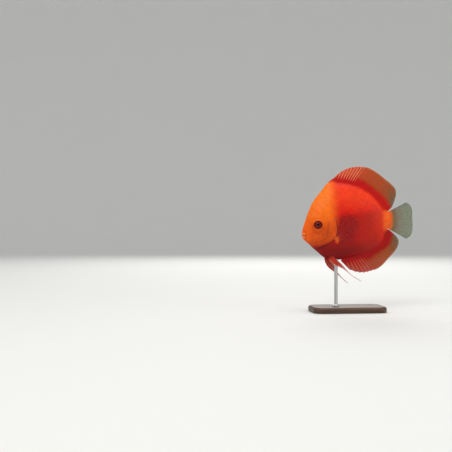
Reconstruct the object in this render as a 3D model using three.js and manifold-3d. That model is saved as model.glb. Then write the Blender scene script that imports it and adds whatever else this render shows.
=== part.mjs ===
// Discus fish (red domestic discus), a still life-size model on a plain display stand.
// Millimetres, +Z up. The fish faces -X with its left side towards -Y, and Y = 0 is its plane of symmetry
// (the two pelvic fins hang a little differently). The origin is on the floor, under the middle of the body.
import * as THREE from 'three';
import { mergeVertices } from 'three/addons/utils/BufferGeometryUtils.js';
import Module from 'manifold-3d';

const wasm = await Module();
wasm.setup();

// ---------- driving dimensions ----------
const CENTRE_Z = 128;        // height of the body's middle over the floor
const CENTRE_X = -0.95;      // puts the origin under the middle of the whole length
const GAP = 0.32;            // between pieces that meet
const FIN_HALF = 0.31;       // half thickness of a fin's web
const FIN_ROOT_HALF = 1.25;  // half thickness of the dorsal and anal fins where they leave the body
const EYE_AT = [-58.0, -6.7];// eye centre, length and height
const EYE_R = 5.3;           // radius of the visible eye
const EYE_PROUD = 2.1;       // how far the eye stands out of the cheek
const ROD_R = 2.5, ROD_X = -30, ROD_IN = 13;
const BASE = { length: 104, width: 58, height: 8, corner: 14, x: -14 };

// Edge of the flesh, as [angle in degrees about the middle of the body, radius in mm], anticlockwise from the tail stem.
const FLESH = [
  [-14.2, 46.6], [-10, 48.2], [0, 48.6], [10, 48.2], [14.2, 46.4], [19, 42.2], [26, 40.3], [38, 39.9], [50, 40.6], [63, 42.2], [76, 44.4], [88, 47.3],
  [98, 50.6], [108, 54.6], [118, 60.3], [124.5, 65.0], [129, 66.6], [138, 65.5], [149.5, 66.3], [160.8, 68.4], [172.6, 71.0],
  [182.7, 75.3], [188.5, 78.7], [192.0, 80.7], [195.2, 82.0], [198.2, 82.0], [201.0, 80.2], [206.3, 76.3], [211, 74.6], [218, 72.2],
  [228.5, 70.2], [236, 67.0], [244, 61.8], [253, 56.3], [264, 51.6], [279.5, 48.6], [297, 47.5], [311, 48.0], [323, 46.2],
  [334, 43.3], [341, 43.6],
];
// Half width of the body seen from above, as [length position, half width]: widest just behind the gill covers.
const HALF_WIDTH = [
  [-81.4, 3.4], [-78, 5.3], [-74, 6.9], [-68, 8.8], [-60, 11.2], [-50, 13.6], [-38, 15.6], [-26, 16.4], [-12, 16.0], [2, 14.3],
  [16, 11.6], [28, 8.7], [37, 6.5], [44, 5.0], [49.4, 4.3],
];
// Outer edge of the dorsal and anal fins, as [angle, radius] about the middle of the body, and how the rays lean back.
const DORSAL = {
  edge: [[128.6, 67.0], [122, 67.6], [114, 70.0], [104, 73.4], [91, 75.7], [79, 75.6], [66, 72.8], [54, 70.8], [43.5, 71.0], [38.4, 70.9], [34.6, 69.0], [29, 63.6], [23.5, 57.2], [18.6, 51.4], [16.2, 46.6]],
  root: [128.2, 15.6], tip: [128.6, 16.2], lean: 0.72,
};
const ANAL = {
  edge: [[247.6, 61.6], [252, 63.6], [258, 68.6], [266, 72.4], [276, 74.9], [287, 75.0], [297, 74.2], [306, 71.7], [315, 70.2], [322, 70.4], [328.5, 69.8], [334, 67.4], [338.2, 61.0], [341.2, 53.6], [343.2, 48.2]],
  root: [247.2, 343.6], tip: [247.6, 343.2], lean: 0.72,
};
const CAUDAL = { rootX: 47.2, rootZ: 10.4, tipX: 81, cornerX: 70, tipZ: 25.2, droop: -0.6 };
// Pectoral fins: root centre, length and height; direction of the longest ray; the spread; and how far they stand off.
const PECTORAL = { x: -33.0, z: -28.7, rootLong: 7.0, length: 42, up: 50, above: 26, below: 62, off: 20 };
// Pelvic fins: [length, height, width] down the middle line of each, from the root to the end of its filament, and root side position.
const PELVIC_LEFT = { line: [[-40.5, -50.0, 7.5], [-33.5, -57.4, 8.0], [-24.5, -63.6, 5.0], [-16.5, -70.5, 2.0], [-8, -78.0, 1.2], [4.3, -85.4, 0.8]], y: [-4.2, -8.5] };
const PELVIC_RIGHT = { line: [[-42.0, -51.0, 8.0], [-38.5, -60.2, 9.4], [-32.0, -68.3, 6.4], [-25.5, -75.6, 2.4], [-18.5, -82.5, 1.3], [-10.5, -89.2, 0.8]], y: [4.2, 8.5] };
// Edges that divide the body: [length, height] from the back down to the throat.
const GILL_EDGE = [[-43, 60], [-38.8, 40], [-36.4, 18], [-34.4, 0], [-33.2, -12], [-34.2, -22], [-39.6, -28.6], [-42.6, -36], [-42.2, -46], [-40.0, -62]];
const TAIL_EDGE = [[38.2, 24], [36.4, 10], [36.0, 0], [36.4, -12], [38.4, -30]];
const GILL_PLATE = { front: [[-36.5, -3.5], [-42, -3.0], [-45.2, -6.5], [-45.6, -15], [-46.4, -22], [-52, -28.5], [-57.5, -33.5], [-57.5, -37.5]], depth: 2.4, proud: 0.45 };
const MOUTH = { z: -20.8, deep: 4.6, gape: 0.8 };

const COLOUR = { head: 0xf0761c, body: 0xd62a18, tail: 0xe85a20, fin: 0xb4401c, clear: 0x9fb0b8, pelvic: 0xc8402c, eye: 0x8a1408, base: 0x4a3628, rod: 0xa8a8a6 };

// ---------- curves ----------
const rad = (d) => d * Math.PI / 180;
function spline(knots, period = 0) {   // smooth curve through [x, y] knots, with continuous curvature
  let k = [...knots].sort((a, b) => a[0] - b[0]);
  if (period) k = [...knots.slice(-4).map(([x, y]) => [x - period, y]), ...knots, ...knots.slice(0, 4).map(([x, y]) => [x + period, y])];
  const n = k.length, m = new Array(n).fill(0), c = new Array(n).fill(0), d = new Array(n).fill(0);
  for (let i = 1; i < n - 1; i++) {
    const h0 = k[i][0] - k[i - 1][0], h1 = k[i + 1][0] - k[i][0];
    const r = 6 * ((k[i + 1][1] - k[i][1]) / h1 - (k[i][1] - k[i - 1][1]) / h0);
    const b = 2 * (h0 + h1) - h0 * c[i - 1];
    c[i] = h1 / b; d[i] = (r - h0 * d[i - 1]) / b;
  }
  for (let i = n - 2; i > 0; i--) m[i] = d[i] - c[i] * m[i + 1];
  return (x) => {
    if (period) { const lo = knots[0][0]; x = ((x - lo) % period + period) % period + lo; }
    x = Math.min(Math.max(x, k[0][0]), k[n - 1][0]);
    let i = 0;
    while (i < n - 2 && x > k[i + 1][0]) i++;
    const h = k[i + 1][0] - k[i][0], a = (k[i + 1][0] - x) / h, b = (x - k[i][0]) / h;
    return a * k[i][1] + b * k[i + 1][1] + ((a ** 3 - a) * m[i] + (b ** 3 - b) * m[i + 1]) * h * h / 6;
  };
}
const fleshR = spline(FLESH, 360), widthAt = spline(HALF_WIDTH);
const polar = (r, deg) => [r * Math.cos(rad(deg)), r * Math.sin(rad(deg))];
const flesh = (deg) => polar(fleshR(deg), deg);

// Top and bottom of the flesh at each length position, from the edge curve.
const EDGE_N = 720, edgePts = [];
for (let i = 0; i < EDGE_N; i++) edgePts.push(flesh(i * 360 / EDGE_N));
const nose = edgePts.reduce((b, p, i) => (p[0] < edgePts[b][0] ? i : b), 0), stern = edgePts.reduce((b, p, i) => (p[0] > edgePts[b][0] ? i : b), 0);
function branch(from, to, step) {
  const out = [];
  for (let i = from; ; i = (i + step + EDGE_N) % EDGE_N) { out.push(edgePts[i]); if (i === to) break; }
  return out[0][0] > out[out.length - 1][0] ? out.reverse() : out;
}
const TOP = branch(stern, nose, 1), BOTTOM = branch(stern, nose, -1);
function heightOn(side, x) {
  let lo = 0, hi = side.length - 1;
  if (x <= side[0][0]) return side[0][1];
  if (x >= side[hi][0]) return side[hi][1];
  while (hi - lo > 1) { const mid = (lo + hi) >> 1; if (side[mid][0] > x) hi = mid; else lo = mid; }
  const f = (x - side[lo][0]) / (side[hi][0] - side[lo][0] || 1);
  return side[lo][1] + f * (side[hi][1] - side[lo][1]);
}
const NOSE_X = TOP[0][0], STERN_X = TOP[TOP.length - 1][0];
const ease = (a, b, x) => { const t = Math.min(Math.max((x - a) / (b - a), 0), 1); return t * t * (3 - 2 * t); };
// Half thickness of the body at a length and height: a lens across, rounder at the mouth and sharper along the back.
function halfThick(x, z) {
  const top = heightOn(TOP, x), bottom = heightOn(BOTTOM, x), mid = (top + bottom) / 2, half = Math.max((top - bottom) / 2, 1e-6);
  const t = Math.min(Math.abs(z - mid) / half, 1);
  const sharp = z > mid ? 0.5 + 0.26 * ease(-76, -52, x) - 0.12 * ease(20, 46, x) : 0.5 + 0.14 * ease(-76, -48, x);
  const noseRound = Math.sqrt(Math.max(1 - ((NOSE_X + 5 - Math.min(x, NOSE_X + 5)) / 5) ** 2, 0));
  const sternRound = Math.sqrt(Math.max(1 - ((Math.max(x, STERN_X - 4) - STERN_X + 4) / 4) ** 2, 0));
  return widthAt(x) * noseRound * sternRound * (1 - t * t) ** sharp;
}

// ---------- solids ----------
function solid(positions, triangles) {
  return new wasm.Manifold(new wasm.Mesh({ numProp: 3, vertProperties: new Float32Array(positions), triVerts: new Uint32Array(triangles) }));
}
function fromGeometry(geometry) {
  const g = geometry.clone();
  g.deleteAttribute('normal'); g.deleteAttribute('uv');
  const m = mergeVertices(g, 1e-4);
  return solid(m.attributes.position.array, m.index.array);
}
// The body's flesh, grown outwards by `grow`.
function bodySolid(grow, around = 60, rings = 8) {
  const pos = [0, -halfThick(0, 0) - grow, 0, 0, halfThick(0, 0) + grow, 0], tri = [];
  const at = [];
  for (let i = 0; i < around; i++) {
    const deg = FLESH_STEPS(i / around), r = fleshR(deg) + grow, row = [];
    for (let j = 1; j < rings; j++) {
      const s = Math.sin(j / rings * Math.PI / 2), [x, z] = polar(r * s, deg), [xi, zi] = polar(fleshR(deg) * s, deg);
      const h = halfThick(xi, zi) + grow * Math.sqrt(1 - s * s) + 0.02;
      row.push([pos.length / 3, pos.length / 3 + 1]);
      pos.push(x, -h, z, x, h, z);
    }
    const [x, z] = polar(r, deg);
    row.push([pos.length / 3, pos.length / 3]);
    pos.push(x, 0, z);
    at.push(row);
  }
  for (let i = 0; i < around; i++) {
    const a = at[i], b = at[(i + 1) % around];
    tri.push(0, a[0][0], b[0][0], 1, b[0][1], a[0][1]);
    for (let j = 0; j + 1 < rings; j++) {
      tri.push(a[j][0], a[j + 1][0], b[j + 1][0], a[j][0], b[j + 1][0], b[j][0]);
      tri.push(a[j][1], b[j + 1][1], a[j + 1][1], a[j][1], b[j][1], b[j + 1][1]);
    }
  }
  return solid(pos, tri);
}
// Even steps round the body, closer together over the lips.
function FLESH_STEPS(f) { const deg = f * 360; return deg + 13 * Math.sin(rad(deg - 196)) * -1; }

// A thin plate between a root line and a tip line, (f, k) => [x, y, z, half thickness], f along the fin and k from root to tip.
function plate(point, along, across, sideways = [0, 1, 0]) {
  const pos = [], tri = [], id = (i, j, s) => (i * (across + 1) + j) * 2 + s;
  for (let i = 0; i <= along; i++) for (let j = 0; j <= across; j++) {
    const [x, y, z, h] = point(i / along, j / across);
    const n = typeof sideways === 'function' ? sideways(i / along, j / across) : sideways;
    for (const s of [-1, 1]) pos.push(x + n[0] * s * h, y + n[1] * s * h, z + n[2] * s * h);
  }
  const quad = (a, b, c, d) => tri.push(a, b, c, a, c, d);
  for (let i = 0; i < along; i++) for (let j = 0; j < across; j++) {
    quad(id(i, j, 0), id(i, j + 1, 0), id(i + 1, j + 1, 0), id(i + 1, j, 0));
    quad(id(i, j, 1), id(i + 1, j, 1), id(i + 1, j + 1, 1), id(i, j + 1, 1));
  }
  for (let i = 0; i < along; i++) { quad(id(i, 0, 0), id(i + 1, 0, 0), id(i + 1, 0, 1), id(i, 0, 1)); quad(id(i, across, 0), id(i, across, 1), id(i + 1, across, 1), id(i + 1, across, 0)); }
  for (let j = 0; j < across; j++) { quad(id(0, j, 0), id(0, j, 1), id(0, j + 1, 1), id(0, j + 1, 0)); quad(id(along, j, 0), id(along, j + 1, 0), id(along, j + 1, 1), id(along, j, 1)); }
  let made = solid(pos, tri);
  if (made.volume() < 0) { for (let i = 0; i < tri.length; i += 3) [tri[i + 1], tri[i + 2]] = [tri[i + 2], tri[i + 1]]; made = solid(pos, tri); }
  return made;
}
const mix = (a, b, f) => a + (b - a) * f;
// The dorsal or anal fin: rays run from the flesh edge to the fin's outer edge and lean back towards the rear corner.
function medianFin(fin) {
  const edge = spline(fin.edge);
  return plate((f, k) => {
    const rootDeg = mix(fin.root[0], fin.root[1], f), tipDeg = mix(fin.tip[0], fin.tip[1], f ** fin.lean);
    const [x0, z0] = polar(Math.max(fleshR(rootDeg) - 3.5, 1), rootDeg), [x1, z1] = polar(edge(tipDeg), tipDeg);
    const x = mix(x0, x1, k), z = mix(z0, z1, k);
    return [x, 0, z, mix(FIN_ROOT_HALF, FIN_HALF, ease(0, 0.45, k))];
  }, 30, 3);
}
function caudalFin() {
  const c = CAUDAL;
  return plate((f, k) => {
    const b = 2 * f - 1, x0 = c.rootX - 4 - 2.2 * b * b, z0 = c.rootZ * b;
    const x1 = c.cornerX + (c.tipX - c.cornerX) * (1 - Math.abs(b) ** 4) ** 0.5, z1 = c.tipZ * Math.sign(b) * Math.abs(b) ** 0.92 + c.droop;
    return [mix(x0, x1, k), 0, mix(z0, z1, k) - 0.4 * Math.sin(Math.PI * k) * b, mix(1.1, FIN_HALF, ease(0, 0.4, k))];
  }, 14, 4);
}
// Pectoral fin on one side (-1 left, 1 right): a fan that leans off the flank.
function pectoralPoint(side, f, k) {
  const p = PECTORAL, deg = p.up + p.above - f * (p.above + p.below);
  const long = p.length * Math.exp(-(((deg - p.up) / (deg > p.up ? 44 : 44)) ** 2));
  const root = [p.x - Math.cos(rad(p.up + 90)) * p.rootLong * (f - 0.5) , p.z - Math.sin(rad(p.up + 90)) * p.rootLong * (f - 0.5)];
  const r = long * k, x = root[0] + r * Math.cos(rad(deg)), z = root[1] + r * Math.sin(rad(deg));
  const base = halfThick(root[0], root[1]);
  const off = base + 0.6 + r * Math.sin(rad(p.off)) * 0.62 - 0.0016 * r * r;
  return [x, side * off, z, mix(0.8, FIN_HALF, ease(0, 0.4, k))];
}
function pelvicPoint(fin, f, k) {
  const xs = spline(fin.line.map((p, i) => [i, p[0]])), zs = spline(fin.line.map((p, i) => [i, p[1]])), ws = spline(fin.line.map((p, i) => [i, p[2]]));
  const t = k * (fin.line.length - 1), e = 1e-3;
  const dx = xs(Math.min(t + e, 5)) - xs(Math.max(t - e, 0)), dz = zs(Math.min(t + e, 5)) - zs(Math.max(t - e, 0)), l = Math.hypot(dx, dz);
  const w = Math.max(ws(t), 0.7) * (f - 0.5);
  return [xs(t) - dz / l * w, mix(fin.y[0], fin.y[1], k ** 0.8), zs(t) + dx / l * w, mix(0.9, 0.33, ease(0, 0.4, k))];
}

// An upright slab through the body whose outline is given as [length, height].
function slab(outline, y0, y1) {
  const shape = new THREE.Shape(outline.map(([x, z]) => new THREE.Vector2(x, z)));
  const g = new THREE.ExtrudeGeometry(shape, { depth: y1 - y0, bevelEnabled: false });
  g.applyMatrix4(new THREE.Matrix4().set(1, 0, 0, 0, 0, 0, -1, y1, 0, 1, 0, 0, 0, 0, 0, 1));
  return fromGeometry(g);
}
function smoothLine(points, n) {
  return new THREE.CatmullRomCurve3(points.map(([x, z]) => new THREE.Vector3(x, z, 0)), false, 'centripetal').getPoints(n).map((p) => [p.x, p.y]);
}
function ellipsoid(rx, ry, rz, x, y, z, detail = [18, 10]) {
  const g = new THREE.SphereGeometry(1, ...detail);
  g.rotateX(Math.PI / 2); g.scale(rx, ry, rz); g.translate(x, y, z);
  return fromGeometry(g);
}

const group = new THREE.Group();
function add(name, made, color, roughness = 0.45, metalness = 0) {
  const mesh = made.getMesh(), g = new THREE.BufferGeometry();
  const pos = [];
  for (let i = 0; i < mesh.vertProperties.length; i += mesh.numProp) pos.push(mesh.vertProperties[i], mesh.vertProperties[i + 1], mesh.vertProperties[i + 2]);
  g.setAttribute('position', new THREE.Float32BufferAttribute(pos, 3));
  g.setIndex(Array.from(mesh.triVerts));
  g.computeVertexNormals();
  const m = new THREE.Mesh(g, new THREE.MeshStandardMaterial({ color, roughness, metalness }));
  m.name = name;
  m.position.set(CENTRE_X, 0, CENTRE_Z);
  group.add(m);
  return m;
}
// The largest of the loose bits a cut can leave.
function main(made) {
  const bits = made.decompose();
  return bits.sort((a, b) => b.volume() - a.volume())[0];
}

const body = bodySolid(0), grown = bodySolid(GAP), proud = bodySolid(GILL_PLATE.proud);
const gillLine = smoothLine(GILL_EDGE, 18), tailLine = smoothLine(TAIL_EDGE, 6);
const shift = (line, d) => line.map(([x, z]) => [x + d, z]);
const headSlab = slab([...gillLine, [-95, -62], [-95, 60]], -30, 30);
const trunkSlab = slab([...shift(gillLine, GAP), [30, -64], ...tailLine.slice().reverse(), [30, 60]], -30, 30);
const tailSlab = slab([...shift(tailLine, GAP).slice().reverse(), [60, 24], [60, -30]], -30, 30);

// Gill covers: curved plates set in the cheeks, open along their rear edge.
const plateFront = smoothLine(GILL_PLATE.front, 11);
const gillSeat = smoothLine([[-40.6, -32.5], [-46.5, -37], [-53, -39.2], [-57.5, -37.5]], 5);
const gillShape = [...gillLine.filter(([, z]) => z <= -2 && z >= -31), ...gillSeat, ...plateFront.slice().reverse().slice(1)];
function inset(outline, d) {   // moves a closed outline outwards by d
  const n = outline.length;
  let area = 0;
  for (let i = 0; i < n; i++) { const [a, b] = outline[i], [c, e] = outline[(i + 1) % n]; area += a * e - c * b; }
  const sign = area > 0 ? 1 : -1;
  return outline.map(([x, z], i) => {
    const [ax, az] = outline[(i + n - 1) % n], [bx, bz] = outline[(i + 1) % n];
    const tx = bx - ax, tz = bz - az, l = Math.hypot(tx, tz) || 1;
    return [x + sign * tz / l * d, z - sign * tx / l * d];
  });
}
const shrunk = bodySolid(-GILL_PLATE.depth), shrunkMore = bodySolid(-GILL_PLATE.depth - GAP);
function gillCover(side) {
  const region = slab(gillShape, side < 0 ? -30 : 1, side < 0 ? -1 : 30);
  return main(proud.intersect(region).intersect(headSlab).subtract(shrunk));
}
function gillPocket(side) {
  const region = slab(inset(gillShape, GAP), side < 0 ? -30 : 1, side < 0 ? -1 : 30);
  return region.subtract(shrunkMore);
}

const eyeY = halfThick(...EYE_AT) + EYE_PROUD - 4.2;
const eyeSolid = (side, grow) => ellipsoid(EYE_R + grow, 4.2 + grow, EYE_R + grow, EYE_AT[0], side * eyeY, EYE_AT[1]);
const cleft = slab([[-90, MOUTH.z + MOUTH.gape * 2.6], [NOSE_X + MOUTH.deep, MOUTH.z + 0.1], [-90, MOUTH.z - MOUTH.gape * 2.2]], -12, 12);
const rodHole = fromGeometry(new THREE.CylinderGeometry(ROD_R + GAP, ROD_R + GAP, 40, 20).rotateX(Math.PI / 2).translate(ROD_X, 0, heightOn(BOTTOM, ROD_X) + ROD_IN + GAP - 20));
const headFull = main(body.intersect(headSlab).subtract(eyeSolid(-1, GAP)).subtract(eyeSolid(1, GAP)).subtract(cleft).subtract(gillPocket(-1)).subtract(gillPocket(1)));
add('head', headFull, COLOUR.head, 0.42);
add('gill_cover_left', gillCover(-1), COLOUR.head, 0.4);
add('gill_cover_right', gillCover(1), COLOUR.head, 0.4);
// Pectoral and pelvic fins first, so that the trunk can be parted from their roots.
const pect = [-1, 1].map((side) => plate((f, k) => pectoralPoint(side, f, k), 12, 5));
const pelvicSolids = [PELVIC_LEFT, PELVIC_RIGHT].map((fin) => plate((f, k) => pelvicPoint(fin, f, k), 3, 18));
add('trunk', main(body.intersect(trunkSlab).subtract(rodHole)), COLOUR.body, 0.42);
add('tail_stem', main(body.intersect(tailSlab)), COLOUR.tail, 0.42);
const grownProud = bodySolid(GAP + GILL_PLATE.proud + 0.05);
add('dorsal_fin', main(medianFin(DORSAL).subtract(grown)), COLOUR.fin, 0.5);
add('anal_fin', main(medianFin(ANAL).subtract(grown)), COLOUR.fin, 0.5);
add('caudal_fin', main(caudalFin().subtract(grown).subtract(slab([[30, 40], [46, 13.4], [50, 14], [47, 0], [50, -14], [46, -13.6], [30, -40]], -0.01, 0.01))), COLOUR.clear, 0.5);
add('pectoral_fin_left', main(pect[0].subtract(grownProud)), COLOUR.clear, 0.5);
add('pectoral_fin_right', main(pect[1].subtract(grownProud)), COLOUR.clear, 0.5);
add('pelvic_fin_left', main(pelvicSolids[0].subtract(grown)), COLOUR.pelvic, 0.5);
add('pelvic_fin_right', main(pelvicSolids[1].subtract(grown)), COLOUR.pelvic, 0.5);
add('eye_left', eyeSolid(-1, 0), COLOUR.eye, 0.08);
add('eye_right', eyeSolid(1, 0), COLOUR.eye, 0.08);

// ---------- display stand ----------
function roundedPlate({ length, width, height, corner, x }) {
  const s = new THREE.Shape(), a = length / 2, b = width / 2, bevel = 1;
  const A = a - bevel, B = b - bevel, R = corner - bevel;
  s.moveTo(-A + R, -B); s.lineTo(A - R, -B); s.absarc(A - R, -B + R, R, -Math.PI / 2, 0);
  s.lineTo(A, B - R); s.absarc(A - R, B - R, R, 0, Math.PI / 2);
  s.lineTo(-A + R, B); s.absarc(-A + R, B - R, R, Math.PI / 2, Math.PI);
  s.lineTo(-A, -B + R); s.absarc(-A + R, -B + R, R, Math.PI, Math.PI * 1.5);
  const g = new THREE.ExtrudeGeometry(s, { depth: height - 2 * bevel, bevelEnabled: true, bevelSize: bevel, bevelThickness: bevel, bevelSegments: 2, curveSegments: 6 });
  g.translate(x, 0, bevel - CENTRE_Z);
  return fromGeometry(g);
}
add('stand_base', roundedPlate(BASE), COLOUR.base, 0.5);
const rodTop = heightOn(BOTTOM, ROD_X) + ROD_IN, rodBottom = BASE.height + GAP - CENTRE_Z;
add('stand_rod', fromGeometry(new THREE.CylinderGeometry(ROD_R, ROD_R, rodTop - rodBottom, 20).rotateX(Math.PI / 2).translate(ROD_X, 0, (rodTop + rodBottom) / 2)), COLOUR.rod, 0.3, 1);

export default group;
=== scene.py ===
import math
import bpy
import numpy as np
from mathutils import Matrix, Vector


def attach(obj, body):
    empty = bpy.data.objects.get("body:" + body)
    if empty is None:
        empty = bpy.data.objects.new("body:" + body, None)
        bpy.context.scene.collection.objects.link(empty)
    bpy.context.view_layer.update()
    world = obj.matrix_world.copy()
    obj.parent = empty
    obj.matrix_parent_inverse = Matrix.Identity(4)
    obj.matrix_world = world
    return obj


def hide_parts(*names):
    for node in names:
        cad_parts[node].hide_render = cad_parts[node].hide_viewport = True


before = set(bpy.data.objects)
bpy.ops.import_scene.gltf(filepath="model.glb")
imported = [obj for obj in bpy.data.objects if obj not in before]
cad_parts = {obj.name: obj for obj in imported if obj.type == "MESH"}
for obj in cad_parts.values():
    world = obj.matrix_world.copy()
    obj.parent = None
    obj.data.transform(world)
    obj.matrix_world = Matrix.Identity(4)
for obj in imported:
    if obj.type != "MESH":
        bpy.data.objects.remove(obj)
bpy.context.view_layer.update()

# ---------------------------------------------------------------- sizes, in mm about the middle of the body
CENTRE_X, CENTRE_Z = -0.95, 128.0
EYE_AT, EYE_R, EYE_PROUD = (-58.0, -6.7), 5.3, 2.1
MOUTH_Z = -20.8
FLESH = [
    (-14.2, 46.6), (-10, 48.2), (0, 48.6), (10, 48.2), (14.2, 46.4), (19, 42.2), (26, 40.3), (38, 39.9), (50, 40.6), (63, 42.2), (76, 44.4), (88, 47.3),
    (98, 50.6), (108, 54.6), (118, 60.3), (124.5, 65.0), (129, 66.6), (138, 65.5), (149.5, 66.3), (160.8, 68.4), (172.6, 71.0),
    (182.7, 75.3), (188.5, 78.7), (192.0, 80.7), (195.2, 82.0), (198.2, 82.0), (201.0, 80.2), (206.3, 76.3), (211, 74.6), (218, 72.2),
    (228.5, 70.2), (236, 67.0), (244, 61.8), (253, 56.3), (264, 51.6), (279.5, 48.6), (297, 47.5), (311, 48.0), (323, 46.2),
    (334, 43.3), (341, 43.6),
]
HALF_WIDTH = [
    (-81.4, 3.4), (-78, 5.3), (-74, 6.9), (-68, 8.8), (-60, 11.2), (-50, 13.6), (-38, 15.6), (-26, 16.4), (-12, 16.0), (2, 14.3),
    (16, 11.6), (28, 8.7), (37, 6.5), (44, 5.0), (49.4, 4.3),
]
DORSAL = dict(
    edge=[(128.6, 67.0), (122, 67.6), (114, 70.0), (104, 73.4), (91, 75.7), (79, 75.6), (66, 72.8), (54, 70.8), (43.5, 71.0), (38.4, 70.9), (34.6, 69.0), (29, 63.6), (23.5, 57.2), (18.6, 51.4), (16.2, 46.6)],
    root=(128.2, 15.6), tip=(128.6, 16.2), lean=0.62, spines=10, rays=31, spiny=0.25)
ANAL = dict(
    edge=[(247.6, 61.6), (252, 63.6), (258, 68.6), (266, 72.4), (276, 74.9), (287, 75.0), (297, 74.2), (306, 71.7), (315, 70.2), (322, 70.4), (328.5, 69.8), (334, 67.4), (338.2, 61.0), (341.2, 53.6), (343.2, 48.2)],
    root=(247.2, 343.6), tip=(247.6, 343.2), lean=0.62, spines=8, rays=29, spiny=0.27)
CAUDAL = dict(rootX=47.2, rootZ=10.4, tipX=81.0, cornerX=70.0, tipZ=25.2, droop=-0.6)
PECTORAL = dict(x=-33.0, z=-28.7, rootLong=7.0, length=42.0, up=50.0, above=26.0, below=62.0, off=20.0)
PELVIC = {
    "left": dict(line=[(-40.5, -50.0, 7.5), (-33.5, -57.4, 8.0), (-24.5, -63.6, 5.0), (-16.5, -70.5, 2.0), (-8, -78.0, 1.2), (4.3, -85.4, 0.8)], y=(-4.2, -8.5)),
    "right": dict(line=[(-42.0, -51.0, 8.0), (-38.5, -60.2, 9.4), (-32.0, -68.3, 6.4), (-25.5, -75.6, 2.4), (-18.5, -82.5, 1.3), (-10.5, -89.2, 0.8)], y=(4.2, 8.5)),
}
BASE = dict(length=104.0, width=58.0, height=8.0, corner=14.0, x=-14.0)
ROD_R, ROD_X, ROD_IN = 2.5, -30.0, 13.0
GILL_CURVE = [(-39.0, 3.0), (-35.6, 1.0), (-33.6, -6.0), (-32.8, -14.0), (-33.8, -21.5), (-37.6, -27.2), (-43.5, -32.0), (-50.5, -36.0), (-58.0, -38.6), (-65.0, -38.2)]
CHEEK_CURVE = [(-42.6, 1.0), (-44.4, -6.0), (-44.9, -14.0), (-45.6, -21.5), (-49.8, -27.4), (-56.5, -30.6), (-64.0, -31.0)]


# ---------------------------------------------------------------- curves
class Spline:
    """Smooth curve through (x, y) knots, with continuous curvature."""

    def __init__(self, knots, period=0.0):
        k = sorted(knots)
        self.lo, self.period = k[0][0], period
        if period:
            k = [(x - period, y) for x, y in k[-4:]] + k + [(x + period, y) for x, y in k[:4]]
        x = self.x = np.array([p[0] for p in k], float)
        y = self.y = np.array([p[1] for p in k], float)
        n = len(k)
        m, c, d = np.zeros(n), np.zeros(n), np.zeros(n)
        for i in range(1, n - 1):
            h0, h1 = x[i] - x[i - 1], x[i + 1] - x[i]
            r = 6 * ((y[i + 1] - y[i]) / h1 - (y[i] - y[i - 1]) / h0)
            b = 2 * (h0 + h1) - h0 * c[i - 1]
            c[i], d[i] = h1 / b, (r - h0 * d[i - 1]) / b
        for i in range(n - 2, 0, -1):
            m[i] = d[i] - c[i] * m[i + 1]
        self.m = m

    def __call__(self, q):
        q = np.asarray(q, float)
        if self.period:
            q = (q - self.lo) % self.period + self.lo
        x, y, m = self.x, self.y, self.m
        q = np.clip(q, x[0], x[-1])
        i = np.clip(np.searchsorted(x, q) - 1, 0, len(x) - 2)
        h = x[i + 1] - x[i]
        a, b = (x[i + 1] - q) / h, (q - x[i]) / h
        return a * y[i] + b * y[i + 1] + ((a**3 - a) * m[i] + (b**3 - b) * m[i + 1]) * h * h / 6


def ease(a, b, x):
    t = np.clip((np.asarray(x, float) - a) / (b - a), 0, 1)
    return t * t * (3 - 2 * t)


def mix(a, b, f):
    return a + (b - a) * f


flesh_r, width_at = Spline(FLESH, 360), Spline(HALF_WIDTH)
_deg = np.linspace(0, 360, 7200, endpoint=False)
_edge = np.stack([flesh_r(_deg) * np.cos(np.radians(_deg)), flesh_r(_deg) * np.sin(np.radians(_deg))], 1)
_nose, _stern = int(np.argmin(_edge[:, 0])), int(np.argmax(_edge[:, 0]))
_stern_up = _stern if _stern < _nose else _stern - 7200
TOP = _edge[np.arange(_stern_up, _nose + 1) % 7200][::-1]
BOTTOM = _edge[np.arange(_nose, _stern_up + 7201) % 7200]
TOP_X, BOT_X = np.maximum.accumulate(TOP[:, 0]), np.maximum.accumulate(BOTTOM[:, 0])
NOSE_X, STERN_X = float(TOP[0, 0]), float(TOP[-1, 0])


def top_at(x):
    return np.interp(x, TOP_X, TOP[:, 1])


def bottom_at(x):
    return np.interp(x, BOT_X, BOTTOM[:, 1])


def half_thick(x, z):
    x, z = np.asarray(x, float), np.asarray(z, float)
    top, bottom = top_at(x), bottom_at(x)
    mid, half = (top + bottom) / 2, np.maximum((top - bottom) / 2, 1e-6)
    t = np.clip(np.abs(z - mid) / half, 0, 1)
    sharp = np.where(z > mid, 0.5 + 0.26 * ease(-76, -52, x) - 0.12 * ease(20, 46, x), 0.5 + 0.14 * ease(-76, -48, x))
    nose = np.sqrt(np.clip(1 - ((NOSE_X + 5 - np.minimum(x, NOSE_X + 5)) / 5) ** 2, 0, 1))
    stern = np.sqrt(np.clip(1 - ((np.maximum(x, STERN_X - 4) - STERN_X + 4) / 4) ** 2, 0, 1))
    return width_at(x) * nose * stern * np.clip(1 - t * t, 0, 1) ** sharp


def polyline(points, n=160):
    i = np.arange(len(points))
    q = np.linspace(0, len(points) - 1, n)
    return np.stack([Spline(list(zip(i, [p[0] for p in points])))(q), Spline(list(zip(i, [p[1] for p in points])))(q)], 1)


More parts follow.
